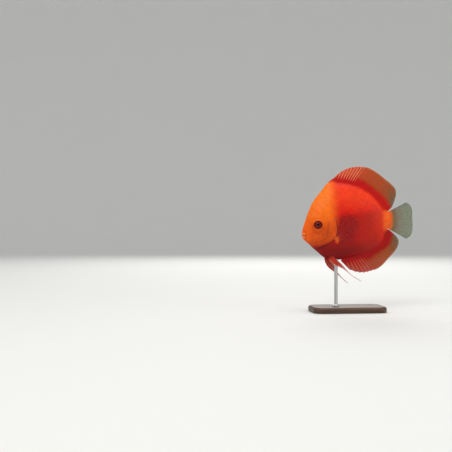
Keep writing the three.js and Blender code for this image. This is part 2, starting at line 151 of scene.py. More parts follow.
def curve_distance(x, z, line):
    """Signed distance to a line, positive on its left side as it runs, and the share of the way along it."""
    x, z = np.asarray(x, float).ravel(), np.asarray(z, float).ravel()
    a, b = line[:-1], line[1:]
    ab = b - a
    l2 = (ab**2).sum(1)
    best, sign, at = np.full(len(x), 1e9), np.ones(len(x)), np.zeros(len(x))
    for i in range(len(a)):
        px, pz = x - a[i, 0], z - a[i, 1]
        s = np.clip((px * ab[i, 0] + pz * ab[i, 1]) / l2[i], 0, 1)
        dx, dz = px - s * ab[i, 0], pz - s * ab[i, 1]
        d = np.hypot(dx, dz)
        near = d < best
        best = np.where(near, d, best)
        sign = np.where(near, np.sign(pz * ab[i, 0] - px * ab[i, 1] + 1e-12), sign)
        at = np.where(near, (i + s) / len(a), at)
    return best * sign, at


def hash01(*keys):
    """Steady pseudo-random numbers from whole-number keys."""
    h = np.zeros_like(np.asarray(keys[0], float))
    for n, k in enumerate(keys):
        h = h + np.asarray(k, float) * (12.9898 + 65.233 * n)
    return np.abs(np.sin(h) * 43758.5453) % 1.0


def wave(x, z, seed=0):
    """Soft blotches of about a centimetre, between -1 and 1."""
    s = seed * 1.7
    return (np.sin(x * 0.31 + 1.3 * np.sin(z * 0.17 + s) + s) * np.cos(z * 0.27 - 0.8 * np.sin(x * 0.13 + s)) + 0.5 * np.sin(x * 0.73 + z * 0.61 + s * 2)) / 1.5


# ---------------------------------------------------------------- relief of the skin, in mm along its normal
GILL, CHEEK = polyline(GILL_CURVE), polyline(CHEEK_CURVE)
MOUTH = np.array([(-84.0, -20.3), (-80.5, -20.6), (-77.5, -21.2), (-75.2, -22.3)])
LIP_FOLD = polyline([(-78.2, -13.6), (-75.3, -16.2), (-73.6, -19.8), (-73.4, -23.2), (-74.6, -26.4), (-77.2, -28.0)], 60)
LATERAL = polyline([(-35.5, 9.0), (-27, 19.0), (-14, 25.5), (0, 27.5), (13, 25.0), (24, 19.0), (31.5, 11.5)], 120)
LATERAL2 = polyline([(24.0, 1.5), (34, 0.6), (46.5, 0.2)], 40)


def relief(x, z, fine=True):
    shape = np.shape(x)
    x, z = np.ravel(x).astype(float), np.ravel(z).astype(float)
    d, at = curve_distance(x, z, GILL)
    ends = ease(0.0, 0.12, at) * (1 - ease(0.86, 1.0, at))
    out = np.zeros_like(x)
    # the gill cover swells towards its free rear edge, and the opening behind it is a step down
    out += ends * np.where(d > 0, 0.0, 0.62 * np.exp(-((d / 4.2) ** 2)))
    out += ends * np.where(d > 0, 0.62 - 1.25 * ease(0.0, 0.65, d), 0) * (d < 0.65)
    out += ends * np.where(d >= 0.65, -0.63 * np.exp(-(((d - 0.65) / 2.6) ** 2)), 0)
    d2, at2 = curve_distance(x, z, CHEEK)
    ends2 = ease(0.0, 0.15, at2) * (1 - ease(0.8, 1.0, at2))
    out += ends2 * (0.30 * np.exp(-(((d2 + 1.5) / 1.6) ** 2)) - 0.34 * np.exp(-((d2 / 0.55) ** 2)))
    # the eye's rim and the shallow trough round it
    r = np.hypot(x - EYE_AT[0], z - EYE_AT[1])
    out += 0.55 * np.exp(-(((r - 6.1) / 0.75) ** 2)) - 0.28 * np.exp(-(((r - 8.4) / 1.2) ** 2))
    out -= 2.6 * (1 - ease(4.3, 5.55, r))
    # brow over the eye, and the hollow under it
    out += 0.30 * np.exp(-(((x - EYE_AT[0]) / 6.5) ** 2) - (((z - EYE_AT[1] - 8.6) / 2.6) ** 2))
    out -= 0.35 * np.exp(-(((x - EYE_AT[0] + 1) / 5.0) ** 2) - (((z - EYE_AT[1] + 10.5) / 3.0) ** 2))
    # lips, the line between them and the fold behind
    d3, at3 = curve_distance(x, z, MOUTH)
    lips = 1 - ease(-76.2, -74.0, x)
    out += lips * np.where(d3 > 0, 0.85, 1.0) * np.exp(-(((np.abs(d3) - 1.45) / 0.95) ** 2))
    out -= (1 - ease(0.90, 1.0, at3)) * 1.7 * np.exp(-((d3 / 0.40) ** 2)) * (x < -74.6)
    d4, at4 = curve_distance(x, z, LIP_FOLD)
    out -= 0.62 * np.exp(-((d4 / 0.6) ** 2)) * ease(0.0, 0.15, at4) * (1 - ease(0.85, 1.0, at4))
    # nostril
    rn = np.hypot(x + 68.6, z + 5.2)
    out += 0.16 * np.exp(-(((rn - 0.95) / 0.35) ** 2)) - 0.75 * np.exp(-((rn / 0.55) ** 2))
    # the two lengths of lateral line, as a row of low pores
    if fine:
        for line, n in ((LATERAL, 46), (LATERAL2, 13)):
            dl, al = curve_distance(x, z, line)
            out += 0.16 * np.exp(-((dl / 0.42) ** 2)) * (0.55 + 0.45 * np.cos(al * n * 2 * np.pi)) * ease(0, 0.03, al) * (1 - ease(0.97, 1, al))
    # a faint keel of muscle along the flank and low undulation
    out += 0.18 * wave(x * 0.8, z * 0.8, 3)
    return out.reshape(shape)


# ---------------------------------------------------------------- markings
def srgb(r, g, b):
    c = np.array([r, g, b], float) / 255
    return np.where(c <= 0.04045, c / 12.92, ((c + 0.055) / 1.055) ** 2.4)


C = dict(
    crown_and_highlight=srgb(252, 122, 22), brow=srgb(248, 110, 14), cheek=srgb(220, 82, 6), snout=srgb(244, 98, 12), lip=srgb(250, 138, 84), throat=srgb(150, 42, 3),
    back=srgb(240, 58, 18), flank=srgb(214, 24, 10), deep=srgb(168, 7, 4), belly=srgb(122, 4, 2), rear=srgb(216, 48, 12), stem=srgb(240, 98, 22),
    band=srgb(200, 12, 7), web=srgb(176, 66, 14), web_far=srgb(72, 70, 30), spine=srgb(244, 150, 112), ray=srgb(206, 108, 40), plum=srgb(142, 16, 18),
    anal=srgb(170, 6, 6), anal_web=srgb(160, 66, 12), clear=srgb(98, 110, 82), clear_ray=srgb(142, 148, 116), pelvic=srgb(172, 22, 8), pelvic_tip=srgb(226, 184, 178),
)
SPLIT = polyline([(-36.0, 58), (-35.0, 45), (-34.6, 25), (-33.5, 8), (-32.4, -6), (-32.6, -18), (-37.0, -27), (-45, -31.5), (-56, -35.5), (-72, -37.5)], 120)


def blend(a, b, f):
    f = np.asarray(f)[..., None]
    return a * (1 - f) + b * f


def flesh_paint(x, z):
    """Colour of the body at a length and height: orange head, red body, orange tail stem."""
    x, z = np.ravel(x).astype(float), np.ravel(z).astype(float)
    top, bottom = top_at(x), bottom_at(x)
    n = len(x)
    # body: the back lighter and the lower flank and belly darker, partly the fish's own colours and partly painted
    # light from above and painted shade below
    c = np.tile(C["flank"], (n, 1))
    c = blend(c, C["back"], ease(6, 34, z + 1.5 * wave(x, z, 1)) * 0.95)
    # lower flank and belly darker: partly own colour, partly painted shade
    low = 1 - ease(1.0, 13.0, z + 1.2 * wave(x, z, 4) - 0.10 * (x + 15))
    c = blend(c, C["deep"], 0.88 * low * np.exp(-(((x + 18) / 30) ** 2)))
    c = blend(c, srgb(170, 28, 6), 0.75 * low * ease(-14, 16, x) * (1 - ease(26, 40, x)))
    c = blend(c, C["belly"], (1 - ease(-50, -20, z + 0.12 * x)) * 0.92 * (1 - ease(-6, 30, x) * 0.5))
    c = blend(c, C["rear"], ease(10, 36, x) * 0.7 * (1 - ease(12, 34, np.abs(z - 3))))
    to_top, to_bottom = top - z, z - bottom
    c = blend(c, C["back"], 0.6 * np.exp(-(((to_top - 7.5) / 3.2) ** 2)) * ease(-30, -8, x))
    c = blend(c, C["band"], (1 - ease(0.5, 6.0, to_top)) * ease(-40, -26, x) * (1 - ease(28, 40, x)) * 0.9)
    c = blend(c, C["anal"], (1 - ease(1.0, 8.0, to_bottom)) * ease(-28, -12, x) * (1 - ease(30, 42, x)) * 0.8)
    c = blend(c, C["stem"], ease(32.0, 41.0, x - 0.02 * (z + 1) ** 2 * ease(6, 20, np.abs(z + 1))))
    # head
    d, _ = curve_distance(x, z, SPLIT)
    h = np.tile(C["cheek"], (n, 1))
    h = blend(h, C["brow"], ease(-14, 10, z))
    # top of the head lighter: partly its own orange, partly painted light from above
    h = blend(h, C["crown_and_highlight"], ease(6, 44, z + 0.25 * (x + 50)) * 0.95)
    h = blend(h, C["snout"], 1 - ease(-77, -64, x))
    # painted highlight: a pale band along the top edge of the head, where the forehead ridge catches the light
    rim = np.minimum(to_top, 40)
    h = blend(h, C["crown_and_highlight"], 0.75 * (1 - ease(0.5, 7.5, rim)) * ease(-16, 0, z))
    # throat darker, and a darker patch behind and below the eye: partly own colour, partly painted shade
    h = blend(h, C["throat"], (1 - ease(-42, -22, z - 0.10 * (x + 60))) * 0.85)
    h = blend(h, C["throat"], 0.34 * np.exp(-(((x + 46) / 8) ** 2) - (((z + 20) / 12) ** 2)))
    lips = (1 - ease(-76.6, -74.6, x)) * (1 - ease(2.2, 4.0, np.abs(z + 21.2)))
    h = blend(h, C["lip"], lips * 0.8)
    dl4, al4 = curve_distance(x, z, LIP_FOLD)
    # painted shade in the fold behind the lips
    h = blend(h, C["throat"], 0.5 * np.exp(-((dl4 / 0.6) ** 2)) * ease(0.0, 0.15, al4) * (1 - ease(0.85, 1.0, al4)))
    dm, _ = curve_distance(x, z, MOUTH)
    # painted shade in the line between the lips
    h = blend(h, C["throat"] * 0.35, np.exp(-((dm / 0.4) ** 2)) * (x < -74.8) * 0.85)
    r = np.hypot(x - EYE_AT[0], z - EYE_AT[1])
    # painted shade in the socket round the eye, and a painted shadow in an arc under it
    h = blend(h, C["throat"] * 0.55, 0.75 * (1 - ease(5.2, 6.3, r)))
    h = blend(h, C["throat"], 0.34 * np.exp(-((np.hypot((x - EYE_AT[0]) / 1.0, (z - EYE_AT[1] + 3.5) / 1.25) - 6.4) / 1.6) ** 2) * (z < EYE_AT[1] + 3))
    dg, ag = curve_distance(x, z, GILL)
    dc, ac = curve_distance(x, z, CHEEK)
    # painted shade in the groove between cheek and gill cover
    h = blend(h, C["throat"], 0.45 * np.exp(-((dc / 0.7) ** 2)) * ease(0, 0.15, ac) * (1 - ease(0.85, 1, ac)))
    soft = ease(-24, 6, z)
    f = ease(mix(-3.0, -12.5, soft), mix(3.6, 8.0, soft), d + 0.9 * wave(x, z, 5))
    c = blend(h, c, f)
    # shadow in the gill opening, and its pale edge
    c = blend(c, C["belly"] * 0.45, 0.8 * np.exp(-(((dg - 0.75) / 0.6) ** 2)) * ease(0.05, 0.2, ag) * (1 - ease(0.8, 0.98, ag)))
    c = blend(c, C["lip"], 0.28 * np.exp(-(((dg + 0.45) / 0.5) ** 2)) * ease(0.05, 0.2, ag) * (1 - ease(0.45, 0.7, ag)))
    # root of the pectoral fin
    pr = np.hypot((x - PECTORAL["x"] - 1.5) / 3.2, (z - PECTORAL["z"] - 0.5) / 5.0)
    c = blend(c, C["stem"], 0.6 * (1 - ease(0.4, 1.2, pr)))
    # the flank behind it is darker and a little plum-coloured
    c = blend(c, C["plum"], 0.5 * np.exp(-(((x + 16) / 13) ** 2) - (((z + 16) / 15) ** 2)) * f)
    c = c * (1 + 0.05 * wave(x * 1.6, z * 1.6, 2))[:, None]
    return np.clip(c, 0, 1)


# ---------------------------------------------------------------- mesh helpers
def to_world(x, y, z):
    return np.stack([x + CENTRE_X, y, z + CENTRE_Z], -1) / 1000.0


def make_mesh(name, verts, faces, paint=None, uv=None, smooth=True, flat_faces=None):
    me = bpy.data.meshes.new(name)
    verts = np.asarray(verts, np.float32)
    sizes = np.array([len(f) for f in faces], np.int32) if isinstance(faces, list) else np.full(len(faces), faces.shape[1], np.int32)
    flat = np.concatenate([np.asarray(f, np.int32) for f in faces]) if isinstance(faces, list) else faces.astype(np.int32).ravel()
    me.vertices.add(len(verts))
    me.vertices.foreach_set("co", verts.ravel())
    me.loops.add(len(flat))
    me.loops.foreach_set("vertex_index", flat)
    me.polygons.add(len(sizes))
    me.polygons.foreach_set("loop_start", np.concatenate([[0], np.cumsum(sizes)[:-1]]).astype(np.int32))
    me.polygons.foreach_set("loop_total", sizes)
    me.update(calc_edges=True)
    me.validate(verbose=False)
    if smooth:
        me.polygons.foreach_set("use_smooth", np.ones(len(me.polygons), bool))
    if paint is not None:
        att = me.color_attributes.new("paint", "FLOAT_COLOR", "POINT")
        rgba = np.ones((len(verts), 4), np.float32)
        rgba[:, : paint.shape[1]] = paint
        att.data.foreach_set("color", rgba.ravel())
    if uv is not None:
        layer = me.uv_layers.new(name="OFBake")
        layer.data.foreach_set("uv", np.asarray(uv, np.float32)[flat].ravel())
    ob = bpy.data.objects.new(name, me)
    bpy.context.scene.collection.objects.link(ob)
    return ob


def quads_grid(ni, nj, base=0, close_i=False):
    i = np.arange(ni if close_i else ni - 1)[:, None]
    j = np.arange(nj - 1)[None, :]
    a = (i * nj + j) + base
    b = (((i + 1) % ni) * nj + j) + base
    return np.stack([a, b, b + 1, a + 1], -1).reshape(-1, 4)


def grid_normals(P):
    """Unit normals of a grid of points."""
    du = np.gradient(P, axis=0)
    dv = np.gradient(P, axis=1)
    n = np.cross(du, dv)
    return n / np.maximum(np.linalg.norm(n, axis=-1, keepdims=True), 1e-12)


# ---------------------------------------------------------------- skin: one surface over head, gill covers, trunk and tail stem
def section_positions():
    """Length positions of the sections, close together over the lips, the head and the tail stem's end."""
    x = [NOSE_X + 0.004]
    while x[-1] < STERN_X - 0.01:
        p = x[-1]
        step = 0.045 + 0.33 * ease(0, 4.5, p - NOSE_X)
        step = mix(step, 0.78, ease(-34, -22, p))
        step = min(step, 0.03 + 0.75 * float(ease(0, 5.0, STERN_X - p)) + 0.02)
        x.append(p + float(step))
    x[-1] = STERN_X - 0.004
    return np.array(x)


def build_skin():
    xs = section_positions()
    nt = 176
    th = np.linspace(-np.pi / 2, np.pi / 2, nt + 1)
    top, bottom = top_at(xs), bottom_at(xs)
    mid, half = (top + bottom) / 2, (top - bottom) / 2
    z = mid[:, None] + half[:, None] * np.sin(th)[None, :]
    x = np.repeat(xs[:, None], nt + 1, 1)
    y = half_thick(x, z)
    y[:, 0] = y[:, -1] = 0
    d = relief(x, z)
    # ring order: up the left side (-Y), then down the right side
    X = np.concatenate([x, x[:, -2:0:-1]], 1)
    Y = np.concatenate([-y, y[:, -2:0:-1]], 1)
    Z = np.concatenate([z, z[:, -2:0:-1]], 1)
    D = np.concatenate([d, d[:, -2:0:-1]], 1)
    P = np.stack([X, Y, Z], -1)
    ext = np.concatenate([P[:, -2:], P, P[:, :2]], 1)
    N = grid_normals(ext)[:, 2:-2]
    outward = np.sign((N * (P - np.stack([X, 0 * Y, np.repeat(mid[:, None], X.shape[1], 1)], -1))).sum(-1).mean())
    N = N * outward
    # at the very tip the surface faces forwards
    fade = ease(0.0, 0.5, xs - NOSE_X)[:, None, None]
    N = N * fade + np.array([-1.0, 0, 0]) * (1 - fade)
    N /= np.linalg.norm(N, axis=-1, keepdims=True)
    P = P + N * (D - 0.10)[..., None]
    P[:, 0, 1] = P[:, nt, 1] = 0
    # the swollen lips end where the body's own length ends
    past = NOSE_X + 0.12 - P[..., 0].min()
    P[..., 0] += past * (1 - ease(0.0, 10.0, P[..., 0] - P[..., 0].min()))
    ni, nj = P.shape[:2]
    verts = P.reshape(-1, 3)
    i = np.arange(ni - 1)[:, None]
    j = np.arange(nj)[None, :]
    a, b = i * nj + j, i * nj + (j + 1) % nj
    faces = np.stack([a, b, b + nj, a + nj], -1).reshape(-1, 4)
    tip, end = len(verts), len(verts) + 1
    verts = np.concatenate([verts, [[P[0, :, 0].mean() - 0.01, 0, mid[0]], [P[-1, :, 0].mean() + 0.01, 0, mid[-1]]]])
    fan0 = [[tip, (k + 1) % nj, k] for k in range(nj)]
    fan1 = [[end, (ni - 1) * nj + k, (ni - 1) * nj + (k + 1) % nj] for k in range(nj)]
    if outward < 0:
        faces, fan0, fan1 = faces[:, ::-1], [f[::-1] for f in fan0], [f[::-1] for f in fan1]
    paint = flesh_paint(verts[:, 0], verts[:, 2])
    # unwrap: each side is laid out flat by its own height along the surface
    arc = np.concatenate([np.zeros((ni, 1)), np.cumsum(np.linalg.norm(np.diff(np.stack([X, Y, Z], -1), axis=1), axis=-1), 1)], 1)
    halfway = arc[:, nt : nt + 1]
    side = (np.arange(nj) > nt)[None, :]
    full = arc[:, -1:] + np.linalg.norm(P[:, 0] - P[:, -1], axis=-1)[:, None]
    up = np.where(side, full - arc, arc) - halfway / 2
    uvs = np.stack([0.25 + (X + 16) / 150 * 0.46 + 0.5 * side, 0.5 + up / 150 * 0.92], -1).reshape(-1, 2)
    uvs = np.concatenate([uvs, [[0.02, 0.46], [0.48, 0.5]]])
    all_faces = [*faces, *fan0, *fan1]
    ob = make_mesh("skin", to_world(verts[:, 0], verts[:, 1], verts[:, 2]), all_faces, paint, uvs)
    print("skin", len(verts), "verts", outward)
    return ob


def skin_uv(x, z, side):
    """Where a point of the skin lies on its unwrap."""
    mid = (top_at(x) + bottom_at(x)) / 2
    zz = np.linspace(0, 1, 12)[:, None] * (z - mid) + mid
    yy = half_thick(np.broadcast_to(x, zz.shape), zz)
    up = np.hypot(np.diff(zz, axis=0), np.diff(yy, axis=0)).sum(0) * np.sign(z - mid)
    return np.stack([0.25 + (x + 16) / 150 * 0.46 + (0.5 if side > 0 else 0.0), 0.5 + up / 150 * 0.92], -1)


# ---------------------------------------------------------------- scales
def scale_template():
    """One closed scale in its own frame: x towards the tail, y across, z up, as shares of its length, width and lift."""
    n = 10
    ang = np.linspace(0, 2 * np.pi, n, endpoint=False)
    ox, oy = np.cos(ang), np.sin(ang)
    ox = np.where(ox < 0, ox * 0.8, ox)
    ring = np.stack([ox * 0.5, oy * 0.5], -1)
    lift = lambda a: -0.55 + 1.5 * np.clip(a + 0.42, 0, 1) ** 0.9
    outer = np.concatenate([ring, lift(ring[:, 0])[:, None]], 1)
    inner = np.concatenate([ring * 0.62, (lift(ring[:, 0] * 0.62) + 0.42)[:, None]], 1)
    centre = np.array([[0, 0, lift(0.0) + 0.55]])
    skirt = np.concatenate([ring, (lift(ring[:, 0]) - 1.35)[:, None]], 1)
    under = np.array([[0, 0, lift(0.0) - 1.35]])
    verts = np.concatenate([centre, inner, outer, outer, skirt, under])
    tris = []
    I, O, S, B, U = 1, 1 + n, 1 + 2 * n, 1 + 3 * n, 1 + 4 * n
    for k in range(n):
        m = (k + 1) % n
        tris += [(0, I + k, I + m), (I + k, O + k, O + m), (I + k, O + m, I + m)]
        tris += [(S + k, B + k, B + m), (S + k, B + m, S + m), (U, B + m, B + k)]
    return verts, np.array(tris), 2 * n + 1


TEMPLATE, TEMPLATE_TRIS, TOP_COUNT = scale_template()


def scales_mesh(name, root, along, normal, length, width, lift, colour, uv, seed):
    """Joined thin plates, rooted on the skin and overlapping towards the tail."""
    n = len(root)
    across = np.cross(normal, along)
    t = TEMPLATE[None]
    L, W, H = length[:, None, None], width[:, None, None], lift[:, None, None]
    P = root[:, None, :] + along[:, None, :] * t[..., 0:1] * L + across[:, None, :] * t[..., 1:2] * W + normal[:, None, :] * t[..., 2:3] * H
    m = TEMPLATE.shape[0]
    faces = (TEMPLATE_TRIS[None] + (np.arange(n) * m)[:, None, None]).reshape(-1, 3)
    q = P[:, TEMPLATE_TRIS[0]]
    if (np.cross(q[:, 1] - q[:, 0], q[:, 2] - q[:, 0]) * normal).sum() < 0:
        faces = faces[:, ::-1]
    vary = (hash01(np.arange(n) + seed, np.arange(n) % 7) - 0.5)
    # tone varies at random, and each scale is darker at its root and lighter at its free end: painted shade where it
    # tucks under the scale in front
    tone = 1 + 0.16 * vary[:, None] + 0.10 * t[..., 0]
    tone = np.broadcast_to(tone, (n, m)).copy()
    # painted shade on each scale's sides and underside, and a little round the edge of its top
    tone[:, TOP_COUNT:] *= 0.55
    tone[:, 1 + 10 : 1 + 20] *= 0.92
    c = np.clip(colour[:, None, :] * tone[..., None], 0, 1)
    uvs = uv[:, None, :] + np.broadcast_to(t[..., :2] * 0.003, (n, m, 2))
    P = P.reshape(-1, 3)
    ob = make_mesh(name, to_world(P[:, 0], P[:, 1], P[:, 2]), faces, c.reshape(-1, 3), uvs.reshape(-1, 2))
    print(name, n, "scales", len(faces), "triangles")
    return ob


def flank_y(x, z):
    return np.maximum(half_thick(x, z) - 0.10, 0)


def scale_rows(x0, x1, pitch_x, pitch_s, middle, jitter):
    """Roots in columns, evenly spaced along the curve of the flank up and down from a middle line."""
    roots = []
    for i, x in enumerate(np.arange(x0, x1, pitch_x)):
        ref = middle(x)
        for direction, end in ((1, float(top_at(x))), (-1, float(bottom_at(x)))):
            zz = np.linspace(ref, end - direction * 0.25, 500)
            yy = flank_y(np.full_like(zz, x), zz)
            run = np.concatenate([[0], np.cumsum(np.hypot(np.diff(zz), np.diff(yy)))])
            at = np.arange(0.5 * pitch_s * (i % 2) + (pitch_s if direction < 0 and i % 2 == 0 else 0), run[-1], pitch_s)
            z = np.interp(at, run, zz)
            roots.append(np.stack([np.full_like(z, x), z, np.full_like(z, i), direction * at / pitch_s], -1))
    r = np.concatenate(roots)
    x = r[:, 0] + (hash01(r[:, 2] + 5, r[:, 3] * 3) - 0.5) * jitter
    z = r[:, 1] + (hash01(r[:, 2] * 3, r[:, 3] + 9) - 0.5) * jitter
    return x, z, r


def lay_scales(name, side, x, z, r, size, length, width, lift, seed):
    e = 0.15
    y = flank_y(x, z) + relief(x, z, False)
    yx = (flank_y(x + e, z) - flank_y(x - e, z)) / (2 * e)
    yz = (flank_y(x, z + e) - flank_y(x, z - e)) / (2 * e)
    normal = np.stack([-yx, np.ones_like(yx), -yz], -1)
    normal /= np.linalg.norm(normal, axis=1, keepdims=True)
    top, bottom = top_at(x), bottom_at(x)
    t = (z - (top + bottom) / 2) / np.maximum((top - bottom) / 2, 1)
    tilt = np.radians(44) * np.sign(t) * np.abs(t) ** 3 * (1 - ease(24, 42, x)) * ease(-60, -36, x)
    tilt += np.radians(7) * (hash01(r[:, 2], r[:, 3] * 2 + 1) - 0.5)
    along = np.stack([np.cos(tilt), np.zeros_like(tilt), np.sin(tilt)], -1)
    along -= normal * (along * normal).sum(1, keepdims=True)
    along /= np.linalg.norm(along, axis=1, keepdims=True)
    size = size * (1 - 0.18 * np.abs(t) ** 4) * (0.96 + 0.08 * hash01(r[:, 3], r[:, 2]))
    root = np.stack([x, y, z], -1)
    if side < 0:
        root[:, 1] *= -1
        normal[:, 1] *= -1
        along[:, 1] *= -1
    colour = flesh_paint(x, z)
    dl, _ = curve_distance(x, z, LATERAL)
    colour = colour * (1 - 0.10 * np.exp(-((dl / 0.9) ** 2)))[:, None]
    return scales_mesh(name, root, along, normal, length * size, width * size, lift * size, colour, skin_uv(x, z, side), seed)


def body_scales(side):
    x, z, r = scale_rows(-66.16, 46.6, 1.62, 1.86, lambda q: mix(-8.0, 0.5, (max(q, -37) + 37) / 84), 0.16)
    dg, _ = curve_distance(x, z, GILL)
    dsp, _ = curve_distance(x, z, SPLIT)
    # behind the gill cover, and down from the nape; the forehead is bare
    keep = (dg > 1.3) & (dsp > -1.5) & (top_at(x) - z > 0.3) & (z - bottom_at(x) > 0.3) & (x < STERN_X - 2.2)
    keep &= np.hypot((x - PECTORAL["x"]) / 2.2, (z - PECTORAL["z"]) / 4.2) > 1.0
    # on the chest they stop short of the keel and grow smaller towards it
    chest = 1 - ease(-40, -32, x)
    keep &= z - bottom_at(x) > 2.4 * chest
    x, z, r, dsp, chest = x[keep], z[keep], r[keep], dsp[keep], chest[keep]
    near_keel = chest * (1 - ease(2.0, 9.0, z - bottom_at(x)))
    size = (1 - 0.10 * ease(30, 46, x)) * mix(0.62, 1.0, ease(-1.5, 5.0, dsp)) * mix(0.86, 1.0, ease(-46, -34, x)) * (1 - 0.32 * near_keel)
    return lay_scales("scales_left" if side < 0 else "scales_right", side, x, z, r, size, 2.75, 2.25, 0.125 * mix(0.35, 1.0, ease(-1.5, 6.0, dsp)) * (1 - 0.6 * near_keel), 11)


def cheek_scales(side):
    x, z, r = scale_rows(-62.0, -33.5, 0.98, 1.08, lambda q: -16.0, 0.12)
    dg, _ = curve_distance(x, z, GILL)
    dc, _ = curve_distance(x, z, CHEEK)
    eye = np.hypot(x - EYE_AT[0], z - EYE_AT[1])
    # gill cover in front of its free edge, and the cheek behind and under the eye; the fold between them is bare
    cover = (dc > 1.5) & (dg < -1.7) & (z > -26) & (z < 0)
    cheek = (dc < -3.6) & (eye > 9.4) & (x > -60) & (z < -7) & (z > -26.5)
    keep = cover | cheek
    x, z, r, dg, dc, eye = x[keep], z[keep], r[keep], dg[keep], dc[keep], eye[keep]
    fade = ease(0.0, 5.0, -z) * np.where(dc > 0, ease(1.5, 3.0, dc) * ease(1.7, 3.2, -dg), ease(3.6, 5.2, -dc) * ease(9.4, 11.5, eye) * ease(-61, -56, x)) * (1 - ease(-23.5, -26.5, z))
    return lay_scales("cheek_scales_left" if side < 0 else "cheek_scales_right", side, x, z, r, mix(0.55, 1.0, fade), 1.62, 1.28, mix(0.02, 0.066, fade), 17)


# ---------------------------------------------------------------- fins
def median_point(fin, edge, f, k):
    """A point of the dorsal or anal fin: f along it, k from inside the flesh to its edge."""
    rd, td = mix(fin["root"][0], fin["root"][1], f), mix(fin["tip"][0], fin["tip"][1], np.asarray(f, float) ** fin["lean"])
    r0, r1 = flesh_r(rd) - 3.5, edge(td)
    x0, z0 = r0 * np.cos(np.radians(rd)), r0 * np.sin(np.radians(rd))
    x1, z1 = r1 * np.cos(np.radians(td)), r1 * np.sin(np.radians(td))
    long = np.hypot(x1 - x0, z1 - z0)
    return mix(x0, x1, k), mix(z0, z1, k), long


def ray_positions(fin):
    sp = np.linspace(0.010, fin["spiny"], fin["spines"])
    so = np.linspace(fin["spiny"], 0.992, fin["rays"] + 1)[1:]
    return sp, so


def stripe(f, centre, width):
    return np.exp(-(((f - centre) / width) ** 2))


